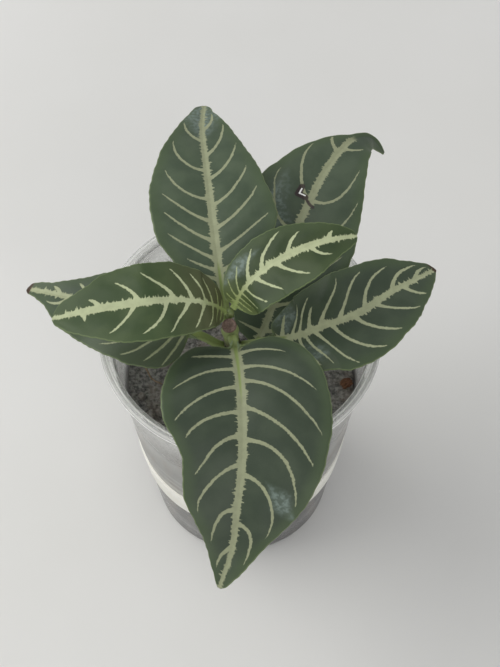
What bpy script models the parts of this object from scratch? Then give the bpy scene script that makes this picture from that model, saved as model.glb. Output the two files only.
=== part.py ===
"""A young zebra plant in a clear plastic cup of potting mix.

Sizes are real ones in millimetres, and become metres when a mesh is made. The origin is the middle
of the cup's flat underside, +Z is up and -Y is the front. Every leaf is one closed solid: a round
stalk that opens into a thin blade with a keel under its midrib and a low pucker between its veins.
"""

import math
from dataclasses import dataclass

import bpy
import numpy as np
from mathutils import Vector, noise

MM = 0.001
GAP = 0.3                       # room between pieces that touch

# Cup
CUP_HEIGHT = 120.0
CUP_FOOT_RADIUS = 35.0
CUP_TAPER = 0.0933              # growth of the outer radius per mm of height
CUP_WALL = 0.8
CUP_FOOT_FILLET = 1.2
CUP_SEGMENTS = 56
BEAD_RADIUS = 1.9               # rolled rim
BEAD_CENTRE_RADIUS = 47.1
BEAD_STEPS = 9
STEP_HEIGHT = 108.0             # stacking step under the rim
STEP_RISE = 2.0
STEP_WIDTH = 1.5
BAND_LOW = 35.0
BAND_HIGH = 50.0
BAND_THICKNESS = 0.4

# Potting mix
SOIL_TOP = 84.0
SOIL_DOME = 1.5                 # the mix is a little higher in the middle
SOIL_LUMP = 1.3
SOIL_LUMP_SIZE = 7.0
SOIL_SEGMENTS = 40
SOIL_RINGS = (0.985, 0.9, 0.79, 0.67, 0.55, 0.43, 0.31, 0.19)   # shares of the wall's radius
SOIL_EDGE_DROP = 2.0            # from the top to the last ring on the wall
SOIL_FOOT_INSET = 1.7           # keeps the mix off the cup's rounded inner corner
SOIL_HOLE_LIP = 0.6
SOIL_UNDER_STEM = 0.9           # clear of the leaning stem's lowest edge

# Main stem and side shoot
STEM_AXIS = ((1.0, -4.0, 62.0), (0.0, -7.0, 88.0), (-1.6, -11.2, 116.0), (-3.4, -16.0, 148.0))
STEM_FOOT_RADIUS = 3.1
STEM_TOP_RADIUS = 2.4
STEM_JOINTS = (104.0, 116.0, 130.5, 143.5)   # heights of the swollen leaf joints
JOINT_SWELL = 0.5
JOINT_LENGTH = 1.6
STEM_SIDES = 16
SCAR_BEVEL = (0.6, 0.5)         # height and width of the rounded edge of the cut
SHOOT_AXIS = ((-3.15, -11.7, 145.0), (-3.1, -11.8, 148.0), (-3.0, -12.1, 150.4))
SHOOT_RADIUS = 1.3
SHOOT_START = 2.0               # from the axis's first point to the shoot's foot
SHOOT_SIDES = 10
SHOOT_FORM = ((0.0, 1.0), (0.35, 0.95), (0.7, 1.0), (0.9, 0.8), (1.0, 0.35))   # share of length, of radius

# Blades
EDGE_STATIONS = (0.0, 0.04, 0.12, 0.25, 0.4, 0.55, 0.7, 0.85, 0.95, 1.0)
COLUMNS = (-1.0, -0.74, -0.44, -0.16, 0.0, 0.16, 0.44, 0.74, 1.0)
LOBE_ENDS = (0.03, 0.15)        # along the midrib: where the base's lobes are full and where they end
BLADE_THICKNESS = 0.65
STALK_EDGE = 0.3                # half the stalk's height where its skin turns into the blade's edge
STALK_RINGS = 3
VEIN_CROWDING = 1.35            # veins stand closer together towards the stalk
VEIN_SWEEP = 0.16               # how far a vein runs towards the tip on its way to the edge
PUCKER = 0.45
MIDRIB_END_RADIUS = 0.5
PATH_SAMPLES = 240

# Loose bits on the mix: centre and the radius of the level spot that they lie on
CHIP_CENTRE = (38.4, -3.6)
CHIP_SIZE = (3.8, 3.3, 1.8)
CHIP_TURN = 35.0
CHIP_LENGTHS = ((-0.5, 0.55, 0.5), (-0.3, 0.9, 0.9), (0.1, 1.0, 1.0), (0.4, 0.75, 0.7), (0.5, 0.35, 0.4))
CHIP_OUTLINE = ((-0.5, 0.0), (-0.42, 0.55), (-0.1, 1.0), (0.3, 0.8), (0.5, 0.3), (0.45, 0.0))
CHIP_SLANT = 0.4
ROOTLET_POINTS = ((-36.2, 6.0), (-34.4, 1.8), (-32.2, -2.0), (-28.4, -4.0))
ROOTLET_RADIUS = 0.4
ROOTLET_TAPER = 0.4
ROOTLET_SIDES = 6
LEVEL_SPOTS = ((38.4, -3.6, 8.0), (-32.0, 0.0, 11.0))


@dataclass
class Leaf:
    """Midrib points run from the stem to the tip; half widths stand at the inner EDGE_STATIONS."""
    name: str
    midrib: tuple
    start: float                # from the first midrib point to the stalk's end face
    stalk: float                # length of the bare stalk
    stalk_radius: float
    left: tuple
    right: tuple
    veins: int
    fold: float                 # degrees that each half rises beside the midrib
    droop: float                # mm that the edge bends back down at the widest place
    roll: tuple                 # degrees about the midrib at the stem and at the tip
    wave: tuple                 # height of the edge's waves in mm, their number and their phase
    lobe: float                 # mm that the base reaches back beside the stalk
    colour: tuple


GROWN_GREEN = (0.030, 0.075, 0.022)
YOUNG_GREEN = (0.075, 0.140, 0.030)

LEAVES = (
    Leaf("front_leaf",
         ((-3.2, -15.4, 143.5), (-1.7, -22.5, 147.0), (-0.2, -33.5, 150.0), (0.9, -48.5, 150.0),
          (0.9, -62.2, 144.5), (-0.7, -74.4, 135.0), (-2.3, -83.1, 124.0), (-6.5, -90.5, 110.0)),
         4.4, 5.5, 1.5,
         (15.5, 24.5, 27.8, 26.9, 22.6, 14.9, 6.5, 3.2), (15.5, 22.8, 25.2, 20.8, 17.9, 12.5, 7.6, 3.1),
         8, 10.0, 3.0, (0.0, 0.0), (1.0, 2.5, 0.3), 6.0, GROWN_GREEN),
    Leaf("back_leaf",
         ((-3.2, -15.6, 142.0), (-4.8, -8.6, 145.8), (-7.1, 5.6, 152.0), (-9.2, 21.9, 155.0),
          (-11.6, 44.6, 152.0), (-13.4, 63.6, 147.0), (-13.1, 78.4, 142.0)),
         3.7, 7.0, 1.5,
         (5.0, 12.0, 18.8, 20.3, 18.6, 14.2, 8.0, 4.2), (6.5, 14.2, 20.2, 20.8, 17.4, 13.2, 8.0, 3.3),
         8, 10.0, 2.0, (0.0, 0.0), (0.8, 2.5, 0.6), 2.0, GROWN_GREEN),
    Leaf("back_right_leaf",
         ((-1.6, -11.3, 115.5), (1.6, -9.4, 117.6), (5.0, -6.8, 120.0), (7.6, -3.6, 122.5), (9.8, 0.9, 125.3),
          (12.2, 7.0, 128.5), (16.0, 20.2, 133.0), (20.6, 32.0, 136.5), (26.2, 44.2, 139.0), (31.4, 54.1, 140.0),
          (36.9, 62.4, 139.5), (41.4, 67.1, 138.0), (46.8, 69.4, 135.0), (52.0, 68.0, 128.0)),
         4.0, 4.5, 1.5,
         (9.0, 14.0, 18.0, 19.5, 19.5, 12.7, 2.0, 1.5), (8.0, 14.5, 21.2, 21.7, 18.7, 13.8, 8.1, 3.0),
         8, 8.0, 3.0, (0.0, 0.0), (1.0, 2.5, 0.1), 3.0, GROWN_GREEN),
    Leaf("right_leaf",
         ((-2.4, -13.4, 130.0), (1.5, -14.8, 133.0), (6.0, -15.5, 135.5), (12.2, -15.4, 138.0),
          (19.9, -15.4, 140.5), (26.4, -13.2, 142.0), (38.2, -8.9, 143.0), (49.9, 0.1, 142.0),
          (59.0, 6.5, 140.0), (65.8, 12.3, 137.0)),
         4.0, 12.0, 1.5,
         (7.5, 13.0, 15.3, 17.0, 16.5, 13.6, 8.0, 4.5), (8.0, 13.5, 18.0, 18.4, 16.0, 13.4, 7.4, 3.0),
         8, 10.0, 2.0, (0.0, 0.0), (0.8, 2.5, 0.4), 4.0, GROWN_GREEN),
    Leaf("lower_left_leaf",
         ((-2.4, -13.4, 130.0), (-6.5, -14.6, 132.5), (-11.2, -13.0, 134.5), (-16.4, -11.6, 136.5),
          (-26.2, -8.8, 139.0), (-36.2, -5.7, 139.5), (-46.4, -1.7, 138.0), (-57.2, 1.9, 136.0),
          (-65.8, 5.4, 133.5), (-72.4, 8.1, 131.0)),
         4.0, 12.0, 1.5,
         (10.0, 16.5, 19.6, 18.0, 16.0, 11.5, 4.8, 2.2), (6.0, 10.0, 13.5, 13.5, 11.6, 7.7, 4.0, 2.8),
         8, 8.0, 2.0, (0.0, 0.0), (0.8, 2.5, 0.8), 2.0, GROWN_GREEN),
    Leaf("young_left_leaf",
         ((-3.1, -12.2, 149.4), (-5.4, -12.6, 151.9), (-8.4, -12.7, 155.0), (-11.2, -13.1, 157.2),
          (-14.0, -13.4, 158.5), (-21.4, -14.5, 161.0), (-29.0, -16.5, 163.0), (-37.8, -17.3, 162.0),
          (-48.8, -18.3, 160.0), (-59.0, -18.5, 156.0)),
         1.7, 1.2, 1.0,
         (6.0, 10.0, 13.0, 14.3, 14.5, 12.2, 7.8, 3.8), (5.5, 11.0, 13.2, 13.8, 13.6, 11.6, 7.2, 4.3),
         10, 10.0, 1.5, (0.0, 0.0), (0.5, 2.0, 0.2), 1.0, YOUNG_GREEN),
    Leaf("young_right_leaf",
         ((-3.1, -12.2, 149.4), (-1.7, -10.8, 151.7), (0.5, -8.2, 155.0), (3.6, -6.2, 158.9), (8.1, -3.7, 162.0),
          (11.9, -2.0, 164.0), (21.9, 1.7, 167.0), (30.4, 3.7, 168.0), (37.2, 5.5, 167.0)),
         1.7, 1.2, 1.0,
         (4.5, 8.8, 10.3, 10.9, 10.5, 8.3, 5.5, 3.1), (7.5, 10.5, 12.2, 13.2, 13.2, 11.6, 6.8, 3.5),
         10, 12.0, 1.5, (0.0, 0.0), (0.5, 2.0, 0.7), 1.0, YOUNG_GREEN),
)


def clear_scene():
    for obj in list(bpy.data.objects):
        bpy.data.objects.remove(obj, do_unlink=True)


def plain_material(name, colour, roughness, transmission=0.0):
    """A Principled material with the piece's own colour and gloss."""
    material = bpy.data.materials.new(name)
    material.use_nodes = True
    shader = material.node_tree.nodes["Principled BSDF"]
    shader.inputs["Base Color"].default_value = (*colour, 1.0)
    shader.inputs["Roughness"].default_value = roughness
    shader.inputs["Metallic"].default_value = 0.0
    shader.inputs["Transmission Weight"].default_value = transmission
    material.diffuse_color = (*colour, 1.0)
    return material


def add_object(name, points, faces, material):
    """Make a mesh object from points in millimetres."""
    mesh = bpy.data.meshes.new(name)
    mesh.from_pydata([tuple(float(c) * MM for c in p) for p in points], [], faces)
    mesh.update()
    mesh.materials.append(material)
    obj = bpy.data.objects.new(name, mesh)
    bpy.context.collection.objects.link(obj)
    mesh.shade_smooth()
    mesh.set_sharp_from_angle(angle=math.radians(40.0))
    return obj


def cup_outer_radius(height):
    return CUP_FOOT_RADIUS + CUP_TAPER * height


def turned_piece(name, profile, material, closed):
    """Turn a profile of (radius, height) about the Z axis with a Screw modifier."""
    points = [(radius * MM, 0.0, height * MM) for radius, height in profile]
    edges = [(i, i + 1) for i in range(len(points) - 1)]
    if closed:
        edges.append((len(points) - 1, 0))
    mesh = bpy.data.meshes.new(name)
    mesh.from_pydata(points, edges, [])
    mesh.materials.append(material)
    obj = bpy.data.objects.new(name, mesh)
    bpy.context.collection.objects.link(obj)
    screw = obj.modifiers.new("turn", "SCREW")
    screw.axis = "Z"
    screw.steps = CUP_SEGMENTS
    screw.render_steps = CUP_SEGMENTS
    screw.use_merge_vertices = True
    screw.merge_threshold = 0.00001
    screw.use_smooth_shade = True
    return obj


def make_cup():
    """The profile runs up the inside from the floor, over the rolled rim and down the outside."""
    step_top = STEP_HEIGHT + STEP_RISE
    step_radius = cup_outer_radius(STEP_HEIGHT)
    collar_radius = step_radius + STEP_WIDTH
    bead_height = CUP_HEIGHT - BEAD_RADIUS
    fillet = CUP_FOOT_FILLET
    profile = [
        (0.0, CUP_WALL),
        (cup_outer_radius(0.0) - fillet - CUP_WALL, CUP_WALL),
        (cup_outer_radius(fillet) - CUP_WALL, CUP_WALL + fillet),
        (cup_outer_radius(0.5 * STEP_HEIGHT) - CUP_WALL, 0.5 * STEP_HEIGHT),
        (step_radius - CUP_WALL, STEP_HEIGHT),
        (collar_radius - CUP_WALL, step_top),
        (collar_radius - CUP_WALL, bead_height - 1.2),
    ]
    first, last = math.radians(200.0), math.radians(-60.0)
    for i in range(BEAD_STEPS):
        angle = first + (last - first) * i / (BEAD_STEPS - 1)
        profile.append((BEAD_CENTRE_RADIUS + BEAD_RADIUS * math.cos(angle),
                        bead_height + BEAD_RADIUS * math.sin(angle)))
    profile += [
        (collar_radius, bead_height - 1.8),
        (collar_radius, step_top),
        (step_radius, STEP_HEIGHT),
        (cup_outer_radius(0.5 * STEP_HEIGHT), 0.5 * STEP_HEIGHT),
        (cup_outer_radius(fillet), fillet),
        (cup_outer_radius(0.0) - 0.3 * fillet, 0.3 * fillet),
        (cup_outer_radius(0.0) - fillet, 0.0),
        (0.0, 0.0),
    ]
    clear_plastic = plain_material("clear plastic", (0.86, 0.87, 0.86), 0.12, 0.9)
    return turned_piece("pot", profile, clear_plastic, closed=False)


def make_band():
    """A blank band just off the outside of the wall, open above and below."""
    inner = [(cup_outer_radius(h) + GAP, h) for h in (BAND_LOW, BAND_HIGH)]
    outer = [(radius + BAND_THICKNESS, height) for radius, height in inner]
    profile = [inner[0], inner[1], outer[1], outer[0]]
    pale_film = plain_material("pale film", (0.72, 0.70, 0.62), 0.5)
    return turned_piece("label_band", profile, pale_film, closed=True)


def smooth_path(points, samples=PATH_SAMPLES):
    """Sample a Catmull-Rom curve through the points; returns places and lengths along it."""
    pts = np.asarray(points, float)
    ends = np.vstack([2.0 * pts[0] - pts[1], pts, 2.0 * pts[-1] - pts[-2]])
    spans = len(pts) - 1
    u = np.linspace(0.0, spans, samples)
    i = np.minimum(u.astype(int), spans - 1)
    t = (u - i)[:, None]
    a, b, c, d = ends[i], ends[i + 1], ends[i + 2], ends[i + 3]
    curve = 0.5 * (2.0 * b + (c - a) * t + (2.0 * a - 5.0 * b + 4.0 * c - d) * t ** 2
                   + (3.0 * b - a - 3.0 * c + d) * t ** 3)
    steps = np.linalg.norm(np.diff(curve, axis=0), axis=1)
    return curve, np.concatenate([[0.0], np.cumsum(steps)])


def place_on_path(path, station):
    """Places and unit directions at lengths along a sampled path."""
    curve, lengths = path
    tangents = np.gradient(curve, lengths, axis=0)
    place = np.stack([np.interp(station, lengths, curve[:, k]) for k in range(3)], -1)
    ahead = np.stack([np.interp(station, lengths, tangents[:, k]) for k in range(3)], -1)
    return place, ahead / np.linalg.norm(ahead, axis=-1, keepdims=True)


def monotone_curve(xs, ys, x):
    """Cubic interpolation that never overshoots its points."""
    xs, ys = np.asarray(xs, float), np.asarray(ys, float)
    h, slope = np.diff(xs), np.diff(ys) / np.diff(xs)
    tangent = np.concatenate([[slope[0]], np.zeros(len(xs) - 2), [slope[-1]]])
    same_way = slope[:-1] * slope[1:] > 0.0
    w1, w2 = 2.0 * h[1:] + h[:-1], h[1:] + 2.0 * h[:-1]
    with np.errstate(divide="ignore", invalid="ignore"):
        mean = (w1 + w2) / (w1 / slope[:-1] + w2 / slope[1:])
    tangent[1:-1] = np.where(same_way, mean, 0.0)
    i = np.clip(np.searchsorted(xs, x) - 1, 0, len(h) - 1)
    t = (x - xs[i]) / h[i]
    return (ys[i] * (1 + 2 * t) * (1 - t) ** 2 + h[i] * tangent[i] * t * (1 - t) ** 2
            + ys[i + 1] * t * t * (3 - 2 * t) + h[i] * tangent[i + 1] * t * t * (t - 1))


def vein_rows(count):
    """Rows of the blade's grid: one on each vein, one between each two, and three near the ends."""
    marks = (np.arange(1, 2 * count) * 0.5 / count) ** VEIN_CROWDING
    return np.concatenate([[0.0, 0.012], marks, [0.985, 1.0]])


def vein_count_at(row, count):
    """The inverse of vein_rows: whole numbers on the veins."""
    return count * np.clip(row, 0.0, 1.0) ** (1.0 / VEIN_CROWDING)


def blade_point(leaf, path, row, column):
    """A point of the blade's upper face; row runs along the midrib, column across from -1 to 1."""
    total = path[1][-1]
    blade_start = leaf.start + leaf.stalk
    across = np.abs(column)
    sweep = VEIN_SWEEP * across ** 1.7 * 4.0 * row * (1.0 - row) * (1.15 - 0.5 * row)
    along = np.clip(row + sweep, 0.0, 1.0)
    place, ahead = place_on_path(path, blade_start + along * (total - blade_start))
    full, end = LOBE_ENDS
    back = leaf.lobe * np.minimum(along / full, 1.0) * np.clip(1.0 - along / end, 0.0, 1.0) ** 2
    place = place - ahead * (back * across ** 1.5)[..., None]
    roll = np.radians(leaf.roll[0] + (leaf.roll[1] - leaf.roll[0]) * along)
    up, side = upright_frame(ahead, roll)
    left = monotone_curve(EDGE_STATIONS, (leaf.stalk_radius, *leaf.left, MIDRIB_END_RADIUS), along)
    right = monotone_curve(EDGE_STATIONS, (leaf.stalk_radius, *leaf.right, MIDRIB_END_RADIUS), along)
    half = np.where(column < 0.0, left, right)
    widest = max(max(leaf.left), max(leaf.right))
    reach = across * half
    fold = np.radians(leaf.fold)
    height = reach * np.sin(fold) - leaf.droop * (reach / widest) ** 2
    amplitude, number, phase = leaf.wave
    wave = np.sin(2.0 * np.pi * (number * along + phase + 0.25 * np.sign(column)))
    height = height + amplitude * wave * across ** 2 * (half / widest)
    between = 0.5 - 0.5 * np.cos(2.0 * np.pi * vein_count_at(row, leaf.veins))
    height = height + PUCKER * between * np.sin(np.pi * across) * (half / widest)
    offset = np.sign(column) * reach * np.cos(fold)
    return place + side * offset[..., None] + up * height[..., None]


def upright_frame(ahead, roll):
    """Unit vectors up and to the right of a direction, rolled about it."""
    world_up = np.array([0.0, 0.0, 1.0])
    side = np.cross(ahead, world_up)
    side = side / np.linalg.norm(side, axis=-1, keepdims=True)
    up = np.cross(side, ahead)
    c, s = np.cos(roll)[..., None], np.sin(roll)[..., None]
    return up * c + side * s, side * c - up * s


def face_normals(grid):
    """Unit normals of a grid of points, pointing to the side that rows cross columns face."""
    along = np.gradient(grid, axis=0)
    across = np.gradient(grid, axis=1)
    normal = np.cross(across, along)
    return normal / np.linalg.norm(normal, axis=-1, keepdims=True)


def make_leaf(leaf):
    """Loft the stalk and the blade as one closed skin: an upper and a lower grid and two edges."""
    path = smooth_path(leaf.midrib)
    rows, columns = vein_rows(leaf.veins), np.array(COLUMNS)
    grid_rows, grid_columns = np.meshgrid(rows, columns, indexing="ij")
    upper = blade_point(leaf, path, grid_rows, grid_columns)
    keel = leaf.stalk_radius * (1.0 - rows) + MIDRIB_END_RADIUS * rows
    keel_depth = (2.0 * keel - BLADE_THICKNESS)[:, None] * (np.abs(grid_columns) < 0.01)
    depth = BLADE_THICKNESS + keel_depth
    lower = upper - face_normals(upper) * depth[..., None]

    stalk_stations = np.linspace(leaf.start, leaf.start + leaf.stalk, STALK_RINGS + 1)[:-1]
    place, ahead = place_on_path(path, stalk_stations)
    up, side = upright_frame(ahead, np.full(len(stalk_stations), np.radians(leaf.roll[0])))
    angle = np.pi * (1.0 - (columns + 1.0) / 2.0)
    ring_side = np.cos(angle)[None, :, None] * side[:, None, :] * leaf.stalk_radius
    ring_up = np.sin(angle)[None, :, None] * up[:, None, :] * leaf.stalk_radius
    at_edge = np.abs(columns)[None, :, None] > 0.99
    ring_up = np.where(at_edge, up[:, None, :] * STALK_EDGE, ring_up)
    upper = np.concatenate([place[:, None, :] + ring_side + ring_up, upper])
    lower = np.concatenate([place[:, None, :] + ring_side - ring_up, lower])
    return add_object(leaf.name, *loft(upper, lower), plain_material(leaf.name, leaf.colour, 0.35))


def loft(upper, lower):
    """Close an upper and a lower grid into one body, both split into triangles alike."""
    row_count, column_count = upper.shape[:2]
    points = np.concatenate([upper.reshape(-1, 3), lower.reshape(-1, 3)])
    shift = row_count * column_count
    faces = []
    for i in range(row_count - 1):
        for j in range(column_count - 1):
            a, b = i * column_count + j, i * column_count + j + 1
            c, d = a + column_count, b + column_count
            halves = ((a, b, d), (a, d, c)) if COLUMNS[j] < 0.0 else ((a, b, c), (b, d, c))
            for half in halves:
                faces.append(half)
                faces.append(tuple(shift + k for k in reversed(half)))
        for a, step in ((i * column_count, 1), ((i + 1) * column_count - 1, -1)):
            c = a + column_count
            side_faces = ((a, c, shift + c), (a, shift + c, shift + a))
            faces.extend(side_faces if step > 0 else [tuple(reversed(f)) for f in side_faces])
    for i, step in ((0, 1), (row_count - 1, -1)):
        for j in range(column_count - 1):
            a, b = i * column_count + j, i * column_count + j + 1
            end_faces = ((a, shift + a, shift + b), (a, shift + b, b))
            faces.extend(end_faces if step > 0 else [tuple(reversed(f)) for f in end_faces])
    return points, faces


def ring_points(centre, ahead, radius, count):
    """A ring of points about a centre, square to a direction."""
    up, side = (v[0] for v in upright_frame(np.asarray(ahead)[None], np.zeros(1)))
    angles = 2.0 * np.pi * np.arange(count) / count
    return [centre + radius * (math.cos(a) * side + math.sin(a) * up) for a in angles]


def tube(name, rings, material):
    """Close a stack of rings of points, in order, into one body with flat ends."""
    count = len(rings[0])
    points = [p for ring in rings for p in ring]
    faces = []
    for i in range(len(rings) - 1):
        for j in range(count):
            a, b = i * count + j, i * count + (j + 1) % count
            faces.append((a, a + count, b + count, b))
    faces.append(tuple(range(count)))
    faces.append(tuple(reversed(range((len(rings) - 1) * count, len(rings) * count))))
    obj = add_object(name, points, faces, material)
    turn_outwards(obj)
    return obj


def turn_outwards(obj):
    """Make a closed mesh's faces point out, judged by its signed volume."""
    mesh = obj.data
    volume = 0.0
    for polygon in mesh.polygons:
        corners = [mesh.vertices[k].co for k in polygon.vertices]
        for i in range(1, len(corners) - 1):
            volume += corners[0].dot(corners[i].cross(corners[i + 1]))
    if volume < 0.0:
        mesh.flip_normals()


def stem_at_height(path, height):
    curve = path[0]
    return np.array([np.interp(height, curve[:, 2], curve[:, k]) for k in range(3)])


def make_stem():
    """A leaning stem with swollen leaf joints and a round-edged scar at its cut top."""
    path = smooth_path(STEM_AXIS)
    low, high = STEM_AXIS[0][2], STEM_AXIS[-1][2]
    heights = sorted({low, 0.5 * (low + SOIL_TOP), SOIL_TOP, high - SCAR_BEVEL[0], high}
                     | {joint + k * JOINT_LENGTH for joint in STEM_JOINTS for k in (-1, 0, 1)})
    rings = []
    for height in heights:
        share = (height - low) / (high - low)
        radius = STEM_FOOT_RADIUS + (STEM_TOP_RADIUS - STEM_FOOT_RADIUS) * share
        radius += JOINT_SWELL * (height in STEM_JOINTS)
        radius -= SCAR_BEVEL[1] * (height == high)
        station = np.interp(height, path[0][:, 2], path[1])
        place, ahead = place_on_path(path, np.array([station]))
        rings.append(ring_points(place[0], ahead[0], radius, STEM_SIDES))
    return tube("stem", rings, plain_material("stem", (0.10, 0.11, 0.045), 0.6))


def make_shoot():
    """The side shoot starts just off the stem and ends in a small closed bud."""
    path = smooth_path(SHOOT_AXIS)
    total = path[1][-1]
    rings = []
    for share, scale in SHOOT_FORM:
        station = SHOOT_START + (total - SHOOT_START) * share
        place, ahead = place_on_path(path, np.array([station]))
        rings.append(ring_points(place[0], ahead[0], SHOOT_RADIUS * scale, SHOOT_SIDES))
    return tube("young_shoot", rings, plain_material("young shoot", (0.13, 0.17, 0.05), 0.5))


def soil_height(x, y):
    """Lumpy top of the mix, level where a loose bit lies."""
    reach = math.hypot(x, y) / cup_outer_radius(SOIL_TOP)
    place = Vector((x, y, 0.0)) / SOIL_LUMP_SIZE
    lump = SOIL_LUMP * noise.noise(place) + 0.5 * SOIL_LUMP * noise.noise(place * 2.3)
    level = min(max(math.hypot(x - cx, y - cy) / radius - 0.6, 0.0) / 0.4 for cx, cy, radius in LEVEL_SPOTS)
    return SOIL_TOP + SOIL_DOME * (1.0 - reach ** 2) * min(level, 1.0) + lump * min(level, 1.0)


def make_soil():
    """Rings from the foot up the wall, over the lumpy top and down the hole that the stem stands in."""
    path = smooth_path(STEM_AXIS)
    hole_radius = STEM_FOOT_RADIUS + GAP
    mouth = stem_at_height(path, SOIL_TOP + SOIL_DOME)
    angles = [2.0 * math.pi * k / SOIL_SEGMENTS for k in range(SOIL_SEGMENTS)]
    rings = []

    def flat_ring(centre, radius, height):
        rings.append([(centre[0] + radius * math.cos(a), centre[1] + radius * math.sin(a), height)
                      for a in angles])

    def wall_radius(height):
        return cup_outer_radius(height) - CUP_WALL - 1.5 * GAP

    low = CUP_WALL + GAP
    flat_ring((0.0, 0.0), wall_radius(low) - SOIL_FOOT_INSET, low)
    for height in (low + SOIL_FOOT_INSET, 0.5 * STEP_HEIGHT, SOIL_TOP - SOIL_EDGE_DROP):
        flat_ring((0.0, 0.0), wall_radius(height), height)
    outer = wall_radius(SOIL_TOP - SOIL_EDGE_DROP)
    for share in SOIL_RINGS:
        centre = mouth[:2] * (1.0 - share)
        ring = []
        for a in angles:
            x = centre[0] + outer * share * math.cos(a)
            y = centre[1] + outer * share * math.sin(a)
            ring.append((x, y, soil_height(x, y)))
        rings.append(ring)
    flat_ring(mouth, hole_radius + SOIL_HOLE_LIP, SOIL_TOP + SOIL_DOME)
    foot = STEM_AXIS[0][2]
    for height in (SOIL_TOP, 0.5 * (SOIL_TOP + foot), foot, foot - SOIL_UNDER_STEM):
        flat_ring(stem_at_height(path, height), hole_radius, height)
    return tube("soil", rings, plain_material("potting mix", (0.035, 0.027, 0.022), 0.95))


def make_chip():
    """A flat chip of bark with broken ends and a humped back."""
    length, width, thickness = CHIP_SIZE
    turn = math.radians(CHIP_TURN)
    rings = []
    for share, wide, tall in CHIP_LENGTHS:
        ring = []
        for across, up in CHIP_OUTLINE:
            x, y = share * length + CHIP_SLANT * up, across * width * wide
            ring.append((CHIP_CENTRE[0] + x * math.cos(turn) - y * math.sin(turn),
                         CHIP_CENTRE[1] + x * math.sin(turn) + y * math.cos(turn),
                         SOIL_TOP + GAP + up * tall * thickness))
        rings.append(ring)
    return tube("bark_chip", rings, plain_material("bark", (0.30, 0.12, 0.05), 0.8))


def make_rootlet():
    """A thin dry rootlet lying on the mix."""
    height = SOIL_TOP + GAP + ROOTLET_RADIUS
    path = smooth_path([(x, y, height) for x, y in ROOTLET_POINTS])
    rings = []
    for share in np.linspace(0.0, 1.0, 9):
        place, ahead = place_on_path(path, np.array([share * path[1][-1]]))
        radius = ROOTLET_RADIUS * (1.0 - ROOTLET_TAPER * share)
        rings.append(ring_points(place[0], ahead[0], radius, ROOTLET_SIDES))
    return tube("rootlet", rings, plain_material("rootlet", (0.42, 0.30, 0.20), 0.8))


def main():
    clear_scene()
    make_cup()
    make_band()
    make_soil()
    make_stem()
    make_shoot()
    make_chip()
    make_rootlet()
    for leaf in LEAVES:
        make_leaf(leaf)


if __name__ == "__main__":
    main()
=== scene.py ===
# %% [markdown]
# # A potted zebra plant, dressed
#
# The solid model of this plant gives every piece its place and size: a clear plastic cup, the
# potting mix, a short cut stem, a side shoot and seven leaves. This lesson gives those pieces their
# looks. We model each one again in finer form where the solid stands, and make its finish from
# shader nodes. Sizes are written in millimetres, because a plant this small is measured that way.

# %% Load the solid model
import math
from dataclasses import dataclass

import bpy
import numpy as np
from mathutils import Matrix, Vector, noise


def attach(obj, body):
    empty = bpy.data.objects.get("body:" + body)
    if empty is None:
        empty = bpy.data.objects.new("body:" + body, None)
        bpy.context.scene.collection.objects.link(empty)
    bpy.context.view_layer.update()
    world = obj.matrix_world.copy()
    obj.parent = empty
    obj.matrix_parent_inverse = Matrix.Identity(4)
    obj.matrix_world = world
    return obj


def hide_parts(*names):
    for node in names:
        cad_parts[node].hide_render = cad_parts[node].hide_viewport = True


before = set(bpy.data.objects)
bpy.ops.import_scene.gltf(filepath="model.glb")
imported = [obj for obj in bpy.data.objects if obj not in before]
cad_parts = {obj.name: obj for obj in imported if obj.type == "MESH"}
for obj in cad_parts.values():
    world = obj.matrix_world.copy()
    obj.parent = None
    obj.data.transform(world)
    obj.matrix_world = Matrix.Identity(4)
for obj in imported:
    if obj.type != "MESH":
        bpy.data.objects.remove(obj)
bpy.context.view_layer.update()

MM = 0.001
print("solid nodes:", len(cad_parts))

# %% [markdown]
# ## Camera
#
# The photograph looks down on the plant at about sixty degrees, from half a metre away. A camera
# looks along its own -Z, so turning it thirty degrees about X tips its view from straight down to
# sixty degrees. The lens follows from the fitted focal length: 1400 pixels in a frame whose long
# side is 667 pixels, on a sensor 36 mm long.

# %% Camera
FRAME_LONG_SIDE = 667
FOCAL_PIXELS = 1400.0
CAMERA_AT = (3.33, -242.73, 535.27)
CAMERA_TIP = 30.0

camera_data = bpy.data.cameras.new("camera")
camera_data.sensor_width = 36.0
camera_data.lens = camera_data.sensor_width * FOCAL_PIXELS / FRAME_LONG_SIDE
camera = bpy.data.objects.new("camera", camera_data)
camera.location = Vector(CAMERA_AT) * MM
camera.rotation_euler = (math.radians(CAMERA_TIP), 0.0, 0.0)
bpy.context.collection.objects.link(camera)
bpy.context.scene.camera = camera
print("lens:", round(camera_data.lens, 1), "mm")

# %% [markdown]
# ## Light
#
# The plant stood near a window on an overcast day: one broad soft light from the back left, and
# pale walls all round that fill the shadows. An area light makes the window, and the world's colour
# makes the walls. The Standard view transform keeps the pale floor as pale as it looks.

# %% Window, fill and world
def add_area_light(name, place, target, size, power, colour):
    """A square lamp that faces a point."""
    lamp = bpy.data.lights.new(name, "AREA")
    lamp.size = size
    lamp.energy = power
    lamp.color = colour
    holder = bpy.data.objects.new(name, lamp)
    holder.location = place
    aim = Vector(target) - Vector(place)
    holder.rotation_euler = aim.to_track_quat("-Z", "Y").to_euler()
    bpy.context.collection.objects.link(holder)
    return holder


add_area_light("window", (-0.85, 0.20, 0.85), (0.0, 0.0, 0.08), 1.2, 9.0, (1.0, 0.995, 0.97))
add_area_light("wall bounce", (0.3, -1.3, 0.8), (0.0, 0.0, 0.08), 1.3, 5.0, (1.0, 0.98, 0.95))

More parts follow.
